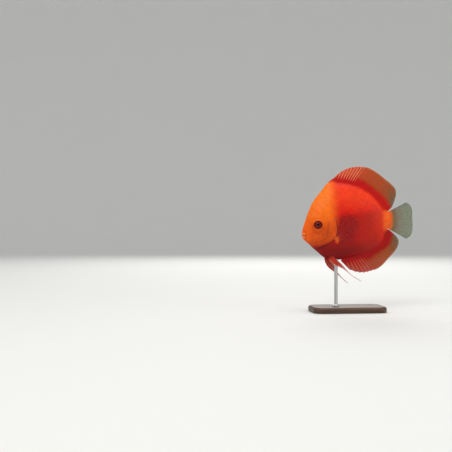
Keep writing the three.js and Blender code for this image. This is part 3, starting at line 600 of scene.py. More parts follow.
def median_fin(name, fin, band, web, web_far, upper):
    edge = Spline(fin["edge"])
    nf, nk = ((620, 62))
    f = np.linspace(0.0006, 1, nf)[:, None] * np.ones((1, nk + 1))
    k = np.linspace(0, 1, nk + 1)[None, :] * np.ones((nf, 1))
    sp, so = ray_positions(fin)
    rays = np.concatenate([sp, so])
    # notches in the edge between the ray tips: deep between spines, slight between soft rays
    gap = np.diff(rays)
    idx = np.clip(np.searchsorted(rays, f[:, 0]) - 1, 0, len(gap) - 1)
    phase = np.clip((f[:, 0] - rays[idx]) / gap[idx], 0, 1)
    spiny = 1 - ease(fin["spiny"] - 0.03, fin["spiny"] + 0.03, f[:, 0])
    notch = np.sin(np.pi * phase) ** 0.7 * (1.7 * spiny + 0.28 * (1 - spiny)) + 0.22 * np.abs(np.sin(phase * np.pi * 3)) * (1 - spiny)
    _, _, long = median_point(fin, edge, f[:, 0], np.ones(nf))
    kk = k * np.clip(1 - (notch + 0.12) / np.maximum(long, 2), 0.2, 1)[:, None]
    x, z, long2 = median_point(fin, edge, f, kk)
    d = kk * long2 - 3.5                       # distance out from the flesh
    dn = np.clip(d / np.maximum(long2 - 3.5, 1), 0, 1)
    # ray profile across the fin; soft rays fork towards the edge
    cell = np.interp(f[:, 0], rays[:-1] + gap / 2, gap)[:, None] * np.ones_like(f)
    ray = np.zeros_like(f)
    for n, c in enumerate(rays):
        if c <= fin["spiny"] + 1e-6:
            ray = np.maximum(ray, stripe(f, c, cell * mix(0.17, 0.13, dn)) * 1.1)
        else:
            s1, s2 = ease(0.42, 1.0, dn) * 0.25 * cell, ease(0.70, 1.0, dn) * 0.12 * cell
            w = cell * mix(0.17, 0.065, dn)
            for a in (-1, 1):
                for b in (-1, 1):
                    ray = np.maximum(ray, stripe(f, c + a * s1 + b * s2, w))
    # cross joints of the soft rays
    joints = 0.82 + 0.18 * np.cos(d * 2 * np.pi / 0.9)
    soft = ease(fin["spiny"] - 0.01, fin["spiny"] + 0.01, f)
    sheath = 1 - ease(5.0, 13.0, d + 1.2 * np.cos(f * 2 * np.pi / 0.0265 * 1.0) * 0)
    half = 0.13 + 1.08 * (1 - ease(-1.0, 9.0, d)) ** 1.4 + ray * mix(0.26, 0.07, dn ** 0.8) * mix(1.0, 1.0, soft) * (0.35 + 0.65 * ease(0.0, 8.0, d))
    half = half * (1 - 0.55 * ease(0.965, 1.0, k))
    wob = (0.75 * np.sin(f * 17 + 1.0) + 0.45 * np.sin(f * 41)) * dn**2 * 0.7 * ease(0.1, 0.5, f)
    # colour: red scaled base, then a translucent web, palest at the rear corner
    flesh_c = flesh_paint(x, z).reshape(*x.shape, 3)
    c = np.broadcast_to(band, x.shape + (3,)).copy()
    front = 1 - ease(0.0, 0.12, f)
    web_c = blend(np.broadcast_to(web, x.shape + (3,)), web_far, ease(0.45, 0.92, f) * ease(0.20, 0.90, dn))
    if upper:
        web_c = blend(web_c, C["back"], 0.65 * (1 - ease(0.05, 0.45, f)))
    else:
        web_c = blend(web_c, C["anal"], 0.75 * (1 - ease(0.12, 0.6, f)))
    streak = 0.5 + 0.5 * np.cos(f * 2 * np.pi / 0.0223 + 3 * np.sin(f * 31))
    reach = (11.0 if upper else 12.0) + 1.6 * np.sin(f * 9) + 2.2 * (streak - 0.5) - 3.5 * (1 - ease(0.02, 0.2, f))
    out = ease(reach - 4.6, reach + 2.6, d)
    c = blend(c, web_c, out)
    c = c * (1 - (0.16 * (1 - ray) * ease(0, 3, d) * (1 - out))[..., None])
    c = blend(c, flesh_c, 1 - ease(-1.5, 3.0, d))
    spine_c = C["spine"] if upper else srgb(216, 88, 64)
    c = blend(c, spine_c, np.clip(ray, 0, 1) * (1 - soft) * ease(2.0, 8.0, d) * 0.85)
    c = blend(c, C["ray"], np.clip(ray, 0, 1) * soft * out * 0.38 * joints)
    rim = ease(0.90, 1.0, dn)
    c = blend(c, C["spine"], rim * (1 - soft) * 0.5)
    c = blend(c, srgb(196, 180, 150), rim * soft * 0.30)
    opaque = 1 - out * (0.14 + 0.10 * ease(0.3, 1.0, dn) + 0.30 * ease(0.55, 0.98, f) * ease(0.15, 1.0, dn))
    opaque = opaque + (1 - opaque) * np.clip(ray, 0, 1) * 0.75
    alpha = np.clip(opaque, 0.2, 1)
    return sheet(name, x, wob, z, half, c, alpha)


def sheet(name, x, y, z, half, colour, alpha, normals=None):
    """A thin closed sheet, half the thickness to either side, from grids of the same shape."""
    ni, nj = x.shape
    P = np.stack([x, y, z], -1)
    N = grid_normals(P) if normals is None else normals
    if N[..., 1].mean() > 0:
        N = -N
    A, B = P + N * half[..., None], P - N * half[..., None]
    V = np.concatenate([A.reshape(-1, 3), B.reshape(-1, 3)])
    m = ni * nj
    fa = quads_grid(ni, nj)
    fb = fa[:, ::-1] + m
    rim = []
    top = lambda i, j: i * nj + j
    i, j = np.arange(ni - 1), np.arange(nj - 1)
    rim.append(np.stack([top(i, 0), top(i, 0) + m, top(i + 1, 0) + m, top(i + 1, 0)], -1))
    rim.append(np.stack([top(i, nj - 1), top(i + 1, nj - 1), top(i + 1, nj - 1) + m, top(i, nj - 1) + m], -1))
    rim.append(np.stack([top(0, j), top(0, j + 1), top(0, j + 1) + m, top(0, j) + m], -1))
    rim.append(np.stack([top(ni - 1, j), top(ni - 1, j) + m, top(ni - 1, j + 1) + m, top(ni - 1, j + 1)], -1))
    faces = np.concatenate([fa, fb, *rim])
    # outward check on the first side
    q = V[fa[len(fa) // 2]]
    n = np.cross(q[1] - q[0], q[2] - q[0])
    if (n * N.reshape(-1, 3)[fa[len(fa) // 2][0]]).sum() < 0:
        faces = faces[:, ::-1]
    rgba = np.concatenate([np.clip(colour, 0, 1).reshape(-1, 3), alpha.reshape(-1, 1)], 1)
    uu = np.linspace(0.01, 0.49, ni)[:, None] * np.ones((1, nj))
    vv = np.linspace(0.01, 0.99, nj)[None, :] * np.ones((ni, 1))
    uv = np.concatenate([np.stack([uu, vv], -1).reshape(-1, 2), np.stack([uu + 0.5, vv], -1).reshape(-1, 2)])
    ob = make_mesh(name, to_world(V[:, 0], V[:, 1], V[:, 2]), faces, np.concatenate([rgba, rgba]), uv)
    print(name, len(faces), "faces")
    return ob


def fin_scales(name, fin, side, band, web, reach, seed):
    """Small scales that run up from the body onto the base of the dorsal or anal fin."""
    edge = Spline(fin["edge"])
    rows = []
    for i in range(0, 13):
        d = -2.2 + i * 1.12
        nf = 108 if i % 2 else 107
        f = (np.arange(nf) + (0.5 if i % 2 else 0.0)) / nf * 0.955 + 0.03
        long = median_point(fin, edge, f, np.ones(nf))[2]
        k = (d + 3.5) / long
        lim = reach - 3.5 * (1 - ease(0.02, 0.22, f)) + 1.6 * (hash01(np.arange(nf) * 1.0, i) - 0.5)
        ok = (d < lim) & (k < 0.72)
        rows.append(np.stack([f[ok], k[ok], np.full(ok.sum(), d), np.full(ok.sum(), i)], -1))
    r = np.concatenate(rows)
    f, k, d = r[:, 0], r[:, 1], r[:, 2]
    x, z, _ = median_point(fin, edge, f, k)
    x1, z1, _ = median_point(fin, edge, f, k + 0.02)
    half = 0.13 + 1.08 * (1 - ease(-1.0, 9.0, d)) ** 1.4
    inside = flank_y(x, z)
    y = np.maximum(half, inside) + 0.02
    along = np.stack([x1 - x, np.zeros_like(x), z1 - z], -1)
    e = 0.25

    def yat(xx, zz):
        return np.maximum(flank_y(xx, zz), half)

    yx, yz = (yat(x + e, z) - yat(x - e, z)) / (2 * e), (yat(x, z + e) - yat(x, z - e)) / (2 * e)
    normal = np.stack([-yx, np.ones_like(x), -yz], -1)
    normal /= np.linalg.norm(normal, axis=1, keepdims=True)
    along /= np.linalg.norm(along, axis=1, keepdims=True)
    along -= normal * (along * normal).sum(1, keepdims=True)
    along /= np.linalg.norm(along, axis=1, keepdims=True)
    root = np.stack([x, y, z], -1)
    if side < 0:
        root[:, 1] *= -1
        normal[:, 1] *= -1
        along[:, 1] *= -1
    far = ease(2, 12, d)
    c = blend(blend(flesh_paint(x, z), band, ease(-1.5, 3.0, d)), web, ease(7.5, 12.5, d) * 0.65)
    c = c * (1 - 0.22 * hash01(np.arange(len(x)) * 1.0, seed))[:, None]
    size = mix(1.0, 0.66, far)
    uv = skin_uv(np.clip(x, NOSE_X, STERN_X), np.clip(z, bottom_at(x), top_at(x)), side)
    return scales_mesh(name, root, along, normal, 1.85 * size, 1.55 * size, 0.085 * size, c, uv, seed)


def caudal_fin():
    c0 = CAUDAL
    nf, nk = ((360, 60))
    f = np.linspace(0, 1, nf)[:, None] * np.ones((1, nk + 1))
    k = np.linspace(0, 1, nk + 1)[None, :] * np.ones((nf, 1))
    b = 2 * f - 1
    x0, z0 = c0["rootX"] - 4 - 2.2 * b * b, c0["rootZ"] * b
    round_ = (1 - np.abs(b) ** 4.0) ** 0.5
    x1 = c0["cornerX"] + (c0["tipX"] - c0["cornerX"]) * round_ - 0.5
    z1 = c0["tipZ"] * np.sign(b) * np.abs(b) ** 0.92 + c0["droop"]
    rays = np.concatenate([np.linspace(0.02, 0.10, 3), np.linspace(0.14, 0.86, 14), np.linspace(0.90, 0.98, 3)])
    gap = np.diff(rays)
    idx = np.clip(np.searchsorted(rays, f[:, 0]) - 1, 0, len(gap) - 1)
    phase = np.clip((f[:, 0] - rays[idx]) / gap[idx], 0, 1)
    notch = 0.35 * np.abs(np.sin(phase * np.pi * 4)) + 0.25 * np.sin(np.pi * phase)
    kk = k * (1 - notch / 32)[:, None]
    x, z = mix(x0, x1, kk), mix(z0, z1, kk) - 0.4 * np.sin(np.pi * kk) * b
    cell = np.interp(f[:, 0], rays[:-1] + gap / 2, gap)[:, None] * np.ones_like(f)
    ray = np.zeros_like(f)
    for c in rays:
        s1, s2 = ease(0.22, 0.9, k) * 0.25 * cell, ease(0.5, 1.0, k) * 0.125 * cell
        w = cell * mix(0.16, 0.055, k)
        for a in (-1, 1):
            for g in (-1, 1):
                ray = np.maximum(ray, stripe(f, c + a * s1 + g * s2, w))
    long = 30.0
    d = kk * long - 5.5
    half = 0.11 + 0.95 * (1 - ease(-2, 7.0, d)) ** 1.3 + ray * mix(0.24, 0.07, k)
    half = half * (1 - 0.5 * ease(0.97, 1.0, k))
    wob = (0.9 * np.sin(b * 3.1 + 0.6) + 0.35 * np.sin(b * 9)) * k**2 * 0.8
    col = blend(np.broadcast_to(C["clear"], x.shape + (3,)), C["clear_ray"], np.clip(ray, 0, 1) * 0.8)
    col = blend(col, C["stem"], 1 - ease(-2.0, 4.0 + 1.2 * np.sin(f * 60), d))
    col = blend(col, srgb(140, 84, 34), 0.80 * (1 - ease(5, 17, d)) * ease(-1, 3, d) * np.clip(ray + 0.5, 0, 1))
    seg = 0.5 + 0.5 * np.cos(d * 2 * np.pi / 1.1)
    col = col * (1 - 0.10 * (seg * ray)[..., None])
    opaque = 0.50 - 0.12 * k + 0.34 * ray + 0.08 * ease(0.95, 1, k) + 0.10 * ease(0.90, 1.0, np.abs(b))
    alpha = np.clip(mix(opaque, 1.0, 1 - ease(0.0, 8.0, d)), 0.16, 1)
    return sheet("caudal_web", x, wob, z, half, col, alpha)


def pectoral_fin(side):
    p = PECTORAL
    nf, nk = ((260, 56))
    f = np.linspace(0, 1, nf)[:, None] * np.ones((1, nk + 1))
    k = np.linspace(0, 1, nk + 1)[None, :] * np.ones((nf, 1))
    rays = np.concatenate([[0.012], np.linspace(0.07, 0.93, 11), [0.985]])
    gap = np.diff(rays)
    idx = np.clip(np.searchsorted(rays, f[:, 0]) - 1, 0, len(gap) - 1)
    phase = np.clip((f[:, 0] - rays[idx]) / gap[idx], 0, 1)
    notch = 0.5 * np.sin(np.pi * phase) + 0.2 * np.abs(np.sin(phase * np.pi * 3))
    deg = p["up"] + p["above"] - f * (p["above"] + p["below"])
    long = p["length"] * np.exp(-(((deg - p["up"]) / 44) ** 2))
    kk = k * np.clip(1 - notch[:, None] / np.maximum(long, 4), 0.5, 1)
    rx = p["x"] - np.cos(np.radians(p["up"] + 90)) * p["rootLong"] * (f - 0.5)
    rz = p["z"] - np.sin(np.radians(p["up"] + 90)) * p["rootLong"] * (f - 0.5)
    r = long * kk
    x, z = rx + r * np.cos(np.radians(deg)), rz + r * np.sin(np.radians(deg))
    base = half_thick(rx, rz)
    off = base + 0.35 + r * math.sin(math.radians(p["off"])) * 0.62 - 0.0016 * r * r
    off = off + 0.35 * np.sin(f * 9 + 0.6) * k**2 + mix(-1.2, 0, ease(0, 0.08, kk))
    cell = np.interp(f[:, 0], rays[:-1] + gap / 2, gap)[:, None] * np.ones_like(f)
    ray = np.zeros_like(f)
    for n, c in enumerate(rays):
        s1 = ease(0.35, 1.0, k) * 0.22 * cell * (0 if n in (0, len(rays) - 1) else 1)
        w = cell * mix(0.20, 0.065, k)
        for a in (-1, 1):
            ray = np.maximum(ray, stripe(f, c + a * s1, w))
    half = 0.09 + 0.5 * (1 - ease(0.0, 0.16, k)) + ray * mix(0.24, 0.06, k)
    half = half * (1 - 0.5 * ease(0.97, 1.0, k))
    col = blend(np.broadcast_to(srgb(150, 26, 28), x.shape + (3,)), srgb(176, 52, 46), np.clip(ray, 0, 1))
    col = blend(col, C["stem"], 1 - ease(0.05, 0.24, k))
    col = blend(col, srgb(214, 84, 48), 0.6 * (1 - ease(0.15, 0.55, k)) * np.clip(ray, 0, 1))
    opaque = 0.16 + 0.16 * ray * mix(1.0, 0.6, k) + 0.08 * ease(0.93, 1, k)
    alpha = np.clip(mix(opaque, 1.0, 1 - ease(0.04, 0.20, k)), 0.1, 1)
    name = "pectoral_web_left" if side < 0 else "pectoral_web_right"
    return sheet(name, x, side * off, z, half, col, alpha)


def pelvic_fin(which):
    fin = PELVIC[which]
    n = len(fin["line"])
    xs, zs, ws = (Spline([(i, p[m]) for i, p in enumerate(fin["line"])]) for m in range(3))
    nf, nk = ((90, 220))
    f = np.linspace(0, 1, nf)[:, None] * np.ones((1, nk + 1))
    k = np.linspace(0, 1, nk + 1)[None, :] * np.ones((nf, 1))
    t, e = k * (n - 1), 1e-3
    dx = xs(np.minimum(t + e, n - 1)) - xs(np.maximum(t - e, 0))
    dz = zs(np.minimum(t + e, n - 1)) - zs(np.maximum(t - e, 0))
    l = np.hypot(dx, dz)
    w = np.maximum(ws(t) - 0.15, 0.34)
    across = w * (f - 0.5)
    x, z = xs(t) - dz / l * across, zs(t) + dx / l * across
    y = mix(fin["y"][0], fin["y"][1], k**0.8)
    side = -1 if which == "left" else 1
    y = y + side * 0.5 * np.sin(f * 5) * ease(0.08, 0.35, k) * (1 - ease(0.4, 0.6, k))
    rays = np.array([0.06, 0.27, 0.45, 0.62, 0.78, 0.93])
    thread = ease(0.46, 0.62, k)
    ray = np.zeros_like(f)
    for c in rays:
        ray = np.maximum(ray, stripe(f, c, 0.05))
    ray = mix(ray, np.sin(np.pi * f) ** 0.5, thread)
    half = 0.13 + 0.55 * (1 - ease(0, 0.14, k)) + mix(0.22, 0.20, thread) * ray
    half = half * mix(1.0, 0.62, ease(0.6, 1.0, k))
    col = blend(np.broadcast_to(C["pelvic"], x.shape + (3,)), srgb(218, 84, 60), np.clip(ray, 0, 1) * 0.45)
    col = blend(col, C["spine"], stripe(f, 0.04 if which == "left" else 0.96, 0.10) * 0.55 * (1 - thread))
    col = blend(col, flesh_paint(x, z).reshape(*x.shape, 3), 1 - ease(0.02, 0.12, k))
    col = blend(col, C["pelvic_tip"], ease(0.34, 0.66, k) * 0.9)
    alpha = np.clip(mix(0.80, 0.95, ray) - 0.12 * ease(0.2, 0.5, k) * (1 - thread), 0.4, 1)
    alpha = mix(alpha, 1.0, 1 - ease(0.05, 0.2, k))
    return sheet(f"pelvic_web_{which}", x, y, z, half, col, alpha)


# ---------------------------------------------------------------- eyes
def eye(side):
    """A shallow glossy ball: black pupil, thin copper ring, dark red iris with fine streaks, darker rim."""
    tag = "left" if side < 0 else "right"
    front = float(half_thick(*EYE_AT)) + EYE_PROUD
    n = 96
    ang = np.linspace(0, 2 * np.pi, n, endpoint=False)
    rad = np.concatenate([np.linspace(0.001, 1.7, 8), np.linspace(1.8, 2.6, 9), np.linspace(2.75, 4.9, 18), [5.05, 5.18, 5.26, 5.28, 5.2]])
    depth = 3.5 - np.sqrt(np.maximum(1 - (np.minimum(rad, 5.28) / 5.3) ** 2, 0)) * 3.5
    depth[-1] = 4.4
    depth = depth - 0.16 * np.exp(-((rad / 2.3) ** 2)) + 0.16
    R, A = np.meshgrid(rad, ang, indexing="ij")
    pupil = 1 - ease(1.92, 2.08, R * (1 + 0.03 * np.cos(A - 2.6)))
    ring = np.exp(-(((R - 2.24) / 0.15) ** 2))
    streak = 0.5 + 0.5 * np.sin(A * 37 + 3 * np.sin(A * 9) + 1.4 * R)
    col = blend(np.broadcast_to(srgb(104, 8, 4), R.shape + (3,)), srgb(166, 24, 6), streak * 0.40 * ease(2.0, 3.0, R))
    col = blend(col, srgb(60, 3, 8), 0.65 * (1 - ease(2.0, 3.3, R)))
    col = blend(col, srgb(58, 6, 8), ease(3.9, 4.95, R) * 0.9)
    col = blend(col, srgb(176, 62, 14), ring * 0.5)
    col = blend(col, srgb(4, 2, 5), pupil)
    D = np.repeat(depth[:, None], n, 1)
    P = np.stack([EYE_AT[0] + R * np.cos(A), side * (front - D), EYE_AT[1] + R * np.sin(A)], -1)
    k, j = np.arange(len(rad) - 1)[:, None], np.arange(n)[None, :]
    a, b = k * n + j, k * n + (j + 1) % n
    faces = np.stack([a, b, b + n, a + n], -1).reshape(-1, 4)
    cap = [list(range(n)), list(range((len(rad) - 1) * n + n - 1, (len(rad) - 1) * n - 1, -1))]
    if side < 0:
        cap = [c[::-1] for c in cap]
    else:
        faces = faces[:, ::-1]
    V = P.reshape(-1, 3)
    return make_mesh(f"eyeball_{tag}", to_world(V[:, 0], V[:, 1], V[:, 2]), [*faces, *cap], col.reshape(-1, 3))


# ---------------------------------------------------------------- materials
def new_material(name):
    mat = bpy.data.materials.new(name)
    mat.use_nodes = True
    nt = mat.node_tree
    nt.nodes.clear()
    out = nt.nodes.new("ShaderNodeOutputMaterial")
    p = nt.nodes.new("ShaderNodeBsdfPrincipled")
    nt.links.new(p.outputs[0], out.inputs["Surface"])
    return mat, nt, p


def node(nt, kind, **values):
    n = nt.nodes.new(kind)
    for key, v in values.items():
        if key in n.inputs:
            n.inputs[key].default_value = v
        else:
            setattr(n, key, v)
    return n


def mottled(nt, colour_socket, coords, amount, scale, detail=3.0):
    """Colour varied in brightness by noise in the object's own space."""
    noise = node(nt, "ShaderNodeTexNoise", Scale=scale, Detail=detail, Roughness=0.55)
    nt.links.new(coords, noise.inputs["Vector"])
    ramp = node(nt, "ShaderNodeMapRange")
    ramp.inputs["From Min"].default_value, ramp.inputs["From Max"].default_value = 0.3, 0.7
    ramp.inputs["To Min"].default_value, ramp.inputs["To Max"].default_value = 1 - amount, 1 + amount
    nt.links.new(noise.outputs["Fac"], ramp.inputs["Value"])
    mul = node(nt, "ShaderNodeVectorMath", operation="SCALE")
    nt.links.new(colour_socket, mul.inputs[0])
    nt.links.new(ramp.outputs[0], mul.inputs["Scale"])
    return mul.outputs[0]


def skin_material(name, pores=True, web=False):
    mat, nt, p = new_material(name)
    at = node(nt, "ShaderNodeAttribute", attribute_name="paint")
    tc = nt.nodes.new("ShaderNodeTexCoord")
    col = mottled(nt, at.outputs["Color"], tc.outputs["Object"], 0.07, 260.0)
    col = mottled(nt, col, tc.outputs["Object"], 0.06, 1500.0)
    nt.links.new(col, p.inputs["Base Color"])
    rough = node(nt, "ShaderNodeTexNoise", Scale=420.0, Detail=2.0)
    nt.links.new(tc.outputs["Object"], rough.inputs["Vector"])
    rr = node(nt, "ShaderNodeMapRange")
    rr.inputs["To Min"].default_value, rr.inputs["To Max"].default_value = (0.34, 0.50) if not web else (0.36, 0.52)
    nt.links.new(rough.outputs["Fac"], rr.inputs["Value"])
    nt.links.new(rr.outputs[0], p.inputs["Roughness"])
    p.inputs["Specular IOR Level"].default_value = 0.17
    p.inputs["Coat Weight"].default_value = 0.035
    p.inputs["Coat Roughness"].default_value = 0.22
    if pores:
        vor = node(nt, "ShaderNodeTexVoronoi", Scale=1150.0)
        nt.links.new(tc.outputs["Object"], vor.inputs["Vector"])
        fine = node(nt, "ShaderNodeTexNoise", Scale=2600.0, Detail=2.0)
        nt.links.new(tc.outputs["Object"], fine.inputs["Vector"])
        add = node(nt, "ShaderNodeMath", operation="MULTIPLY_ADD")
        add.inputs[1].default_value = 0.6
        nt.links.new(vor.outputs["Distance"], add.inputs[0])
        nt.links.new(fine.outputs["Fac"], add.inputs[2])
        bump = node(nt, "ShaderNodeBump", Strength=0.22, Distance=0.00016)
        nt.links.new(add.outputs[0], bump.inputs["Height"])
        nt.links.new(bump.outputs["Normal"], p.inputs["Normal"])
    if web:
        nt.links.new(at.outputs["Alpha"], p.inputs["Alpha"])
    return mat


def make_materials():
    m = {}
    m["skin"] = skin_material("discus_skin")
    m["scale"] = skin_material("discus_scale", pores=False)
    m["web"] = skin_material("fin_web", pores=False, web=True)
    mat, nt, p = new_material("eye_inner")
    at = node(nt, "ShaderNodeAttribute", attribute_name="paint")
    tc = nt.nodes.new("ShaderNodeTexCoord")
    nt.links.new(mottled(nt, at.outputs["Color"], tc.outputs["Object"], 0.18, 2200.0), p.inputs["Base Color"])
    p.inputs["Roughness"].default_value = 0.35
    p.inputs["Specular IOR Level"].default_value = 0.08
    p.inputs["Coat Weight"].default_value = 0.20
    p.inputs["Coat Roughness"].default_value = 0.03
    m["eye"] = mat
    # dark stained wood
    mat, nt, p = new_material("stand_wood")
    tc = nt.nodes.new("ShaderNodeTexCoord")
    mp = node(nt, "ShaderNodeMapping")
    mp.inputs["Scale"].default_value = (14, 170, 170)
    nt.links.new(tc.outputs["Object"], mp.inputs["Vector"])
    grain = node(nt, "ShaderNodeTexNoise", Scale=1.0, Detail=6.0, Roughness=0.62, Distortion=0.6)
    nt.links.new(mp.outputs[0], grain.inputs["Vector"])
    ramp = nt.nodes.new("ShaderNodeValToRGB")
    ramp.color_ramp.elements[0].position, ramp.color_ramp.elements[1].position = 0.32, 0.72
    ramp.color_ramp.elements[0].color = (*srgb(48, 30, 20), 1)
    ramp.color_ramp.elements[1].color = (*srgb(104, 70, 46), 1)
    nt.links.new(grain.outputs["Fac"], ramp.inputs["Fac"])
    nt.links.new(ramp.outputs["Color"], p.inputs["Base Color"])
    rr = node(nt, "ShaderNodeMapRange")
    rr.inputs["To Min"].default_value, rr.inputs["To Max"].default_value = 0.34, 0.55
    nt.links.new(grain.outputs["Fac"], rr.inputs["Value"])
    nt.links.new(rr.outputs[0], p.inputs["Roughness"])
    bump = node(nt, "ShaderNodeBump", Strength=0.18, Distance=0.0003)
    nt.links.new(grain.outputs["Fac"], bump.inputs["Height"])
    nt.links.new(bump.outputs["Normal"], p.inputs["Normal"])
    m["wood"] = mat
    mat, nt, p = new_material("stand_steel")
    tc = nt.nodes.new("ShaderNodeTexCoord")
    mp = node(nt, "ShaderNodeMapping")
    mp.inputs["Scale"].default_value = (900, 900, 60)
    nt.links.new(tc.outputs["Object"], mp.inputs["Vector"])
    brush = node(nt, "ShaderNodeTexNoise", Scale=3.0, Detail=4.0)
    nt.links.new(mp.outputs[0], brush.inputs["Vector"])
    rr = node(nt, "ShaderNodeMapRange")
    rr.inputs["To Min"].default_value, rr.inputs["To Max"].default_value = 0.22, 0.42
    nt.links.new(brush.outputs["Fac"], rr.inputs["Value"])
    nt.links.new(rr.outputs[0], p.inputs["Roughness"])
    cr = nt.nodes.new("ShaderNodeValToRGB")
    cr.color_ramp.elements[0].color, cr.color_ramp.elements[1].color = (0.50, 0.50, 0.49, 1), (0.68, 0.68, 0.67, 1)
    nt.links.new(brush.outputs["Fac"], cr.inputs["Fac"])
    nt.links.new(cr.outputs["Color"], p.inputs["Base Color"])
    p.inputs["Metallic"].default_value = 1.0
    m["steel"] = mat
    return m


# ---------------------------------------------------------------- stand
def rounded_outline(length, width, corner, n=14):
    a, b, out = length / 2, width / 2, []
    for cx, cy, start in ((a - corner, -b + corner, -90), (a - corner, b - corner, 0), (-a + corner, b - corner, 90), (-a + corner, -b + corner, 180)):
        for t in np.linspace(start, start + 90, n):
            out.append((cx + corner * math.cos(math.radians(t)), cy + corner * math.sin(math.radians(t))))
    return np.array(out)


def stand_base():
    B = BASE
    rings = [(1.2, 0.0), (0.35, 0.35), (0.0, 1.2), (0.0, 5.4), (0.25, 6.2), (0.9, 6.6), (1.15, 6.75), (1.3, 7.3), (1.75, 7.75), (2.5, 7.98)]
    V, F = [], []
    for inset, h in rings:
        o = rounded_outline(B["length"] - 2 * inset, B["width"] - 2 * inset, B["corner"] - inset)
        V.append(np.stack([o[:, 0] + B["x"], o[:, 1], np.full(len(o), h - CENTRE_Z)], -1))
    n = len(V[0])
    for r in range(len(rings) - 1):
        for k in range(n):
            m = (k + 1) % n
            F.append([r * n + k, r * n + m, (r + 1) * n + m, (r + 1) * n + k])
    F.append(list(range(n))[::-1])
    F.append([(len(rings) - 1) * n + k for k in range(n)])
    V = np.concatenate(V)
    ob = make_mesh("stand_base_shaped", to_world(V[:, 0], V[:, 1], V[:, 2]), F)
    ob.data.polygons[len(F) - 1].use_smooth = False
    ob.data.polygons[len(F) - 2].use_smooth = False
    return ob


def stand_rod():
    bottom = BASE["height"] - CENTRE_Z
    top = float(bottom_at(ROD_X)) + ROD_IN
    belly = float(bottom_at(ROD_X))
    prof = [(0, bottom - 0.0), (5.6, bottom), (5.6, bottom + 0.9), (5.2, bottom + 1.35), (3.3, bottom + 1.7), (2.75, bottom + 2.3), (2.45, bottom + 3.4), (2.45, belly - 7.5), (2.45, top - 0.6), (0, top - 0.2)]
    n, V, F = 48, [], []
    for r, z in prof:
        a = np.linspace(0, 2 * np.pi, n, endpoint=False)
        rr = max(r, 0.001)
        V.append(np.stack([ROD_X + rr * np.cos(a), rr * np.sin(a), np.full(n, z)], -1))
    for k in range(len(prof) - 1):
        for j in range(n):
            m = (j + 1) % n
            F.append([k * n + j, k * n + m, (k + 1) * n + m, (k + 1) * n + j])
    F.append(list(range(n))[::-1])
    F.append([(len(prof) - 1) * n + k for k in range(n)])
    V = np.concatenate(V)
    ob = make_mesh("stand_rod_shaped", to_world(V[:, 0], V[:, 1], V[:, 2]), F)
    return ob


# ---------------------------------------------------------------- build
M = make_materials()


def dress(ob, mat, slot, *nodes):
    ob.data.materials.append(M[mat])
    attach(ob, "root")
    if nodes:
        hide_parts(*nodes)
    return ob


dress(build_skin(), "skin", "body_skin", "head", "gill_cover_left", "gill_cover_right", "trunk", "tail_stem")
for s in (-1, 1):
    tag = "left" if s < 0 else "right"
    dress(body_scales(s), "scale", "body_skin")
    dress(cheek_scales(s), "scale", "head_skin")
    dress(fin_scales(f"dorsal_scales_{tag}", DORSAL, s, C["band"], C["web"], 11.2, 3), "scale", "fin_web")
    dress(fin_scales(f"anal_scales_{tag}", ANAL, s, C["anal"], C["anal_web"], 11.2, 5), "scale", "fin_web")
    dress(eye(s), "eye", "eye", f"eye_{tag}")
    dress(pectoral_fin(s), "web", "clear_web", f"pectoral_fin_{tag}")
    dress(pelvic_fin(tag), "web", "pelvic_web", f"pelvic_fin_{tag}")
dress(median_fin("dorsal_web", DORSAL, C["band"], C["web"], C["web_far"], True), "web", "fin_web", "dorsal_fin")
dress(median_fin("anal_web", ANAL, C["anal"], C["anal_web"], C["web_far"], False), "web", "fin_web", "anal_fin")
dress(caudal_fin(), "web", "clear_web", "caudal_fin")
dress(stand_base(), "wood", "stand_wood", "stand_base")
dress(stand_rod(), "steel", "stand_metal", "stand_rod")

# ---------------------------------------------------------------- stage, light and camera
def stage_bowl():
    """Pale floor that curves up far away on every side."""
    prof = [(0.0, 0.0)] + [(r, 0.0) for r in (0.3, 0.8, 1.6, 2.4)] + [(2.4 + 1.2 * math.sin(t), 1.2 - 1.2 * math.cos(t)) for t in np.linspace(0.1, math.pi / 2, 12)] + [(3.6, 2.6)]
    n, V, F = 96, [], []
    for r, z in prof:
        for a in np.linspace(0, 2 * np.pi, n, endpoint=False):
            V.append((max(r, 1e-4) * math.cos(a), max(r, 1e-4) * math.sin(a), z - 0.0002))
    for k in range(len(prof) - 1):
        for j in range(n):
            m = (j + 1) % n
            F.append([k * n + j, k * n + m, (k + 1) * n + m, (k + 1) * n + j])
    ob = make_mesh("studio_floor", np.array(V), F)
    mat, nt, p = new_material("studio_paper")
    p.inputs["Base Color"].default_value = (0.78, 0.78, 0.76, 1)
    p.inputs["Roughness"].default_value = 0.9
    p.inputs["Specular IOR Level"].default_value = 0.1
    ob.data.materials.append(mat)
    return ob


stage_bowl()


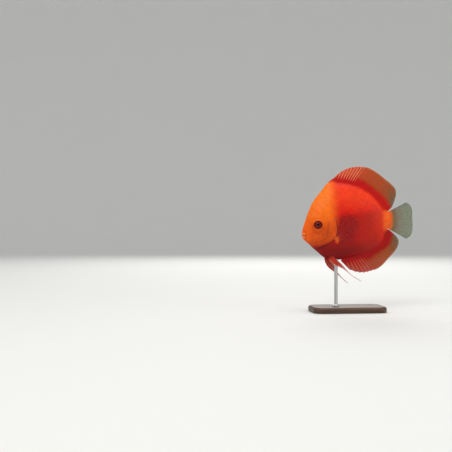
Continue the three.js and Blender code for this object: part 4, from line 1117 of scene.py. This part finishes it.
def area(name, at, size, power, colour=(1, 1, 1), target=(0, 0, 0.12)):
    light = bpy.data.lights.new(name, "AREA")
    light.shape, light.size, light.size_y = "RECTANGLE", size, size
    light.energy, light.color = power, colour
    ob = bpy.data.objects.new(name, light)
    bpy.context.scene.collection.objects.link(ob)
    ob.location = at
    ob.rotation_euler = (Vector(target) - Vector(at)).to_track_quat("-Z", "Y").to_euler()
    return ob


area("key", (-0.75, -1.2, 1.25), 0.8, 9.5, (1.0, 0.98, 0.95))
area("top", (0.1, -0.15, 1.7), 1.1, 9.5, (1.0, 0.99, 0.97))
area("fill", (1.2, -1.0, 0.6), 0.9, 3.5, (1.0, 0.98, 0.97))
area("back", (0.2, 1.5, 1.0), 0.9, 10.0, (1.0, 0.98, 0.96))
world = bpy.data.worlds.new("studio")
bpy.context.scene.world = world
world.use_nodes = True
world.node_tree.nodes["Background"].inputs["Color"].default_value = (0.92, 0.94, 0.97, 1)
world.node_tree.nodes["Background"].inputs["Strength"].default_value = 0.60
bpy.context.scene.view_settings.view_transform = "Standard"
bpy.context.scene.view_settings.look = "None"

MM_PER_PX, FOCAL_PX, FRAME_PX = 1.40, 900.0, 452.0
FISH_PX, YAW = (357.0, 220.0), -15.0


def make_camera():
    cam = bpy.data.cameras.new("photo_camera")
    cam.sensor_width = 36.0
    cam.sensor_fit = "HORIZONTAL"
    cam.lens = 36.0 * FOCAL_PX / FRAME_PX
    ob = bpy.data.objects.new("photo_camera", cam)
    bpy.context.scene.collection.objects.link(ob)
    dx, dy = FISH_PX[0] - FRAME_PX / 2, FRAME_PX / 2 - FISH_PX[1]
    depth = MM_PER_PX * FOCAL_PX / 1000
    dist = depth * math.sqrt(FOCAL_PX**2 + dx**2 + dy**2) / FOCAL_PX
    a = math.radians(YAW)
    back = Vector((math.sin(a), -math.cos(a), 0))
    fish = Vector((CENTRE_X / 1000, 0, CENTRE_Z / 1000))
    ob.location = fish + back * dist
    turn = math.atan2(dx, FOCAL_PX)
    look = -back
    look = Vector((look.x * math.cos(turn) - look.y * math.sin(turn), look.x * math.sin(turn) + look.y * math.cos(turn), -dy / math.hypot(FOCAL_PX, dx)))
    ob.rotation_mode = "QUATERNION"
    ob.rotation_quaternion = look.to_track_quat("-Z", "Y")
    cam.clip_start, cam.clip_end = 0.01, 50
    bpy.context.scene.camera = ob


make_camera()
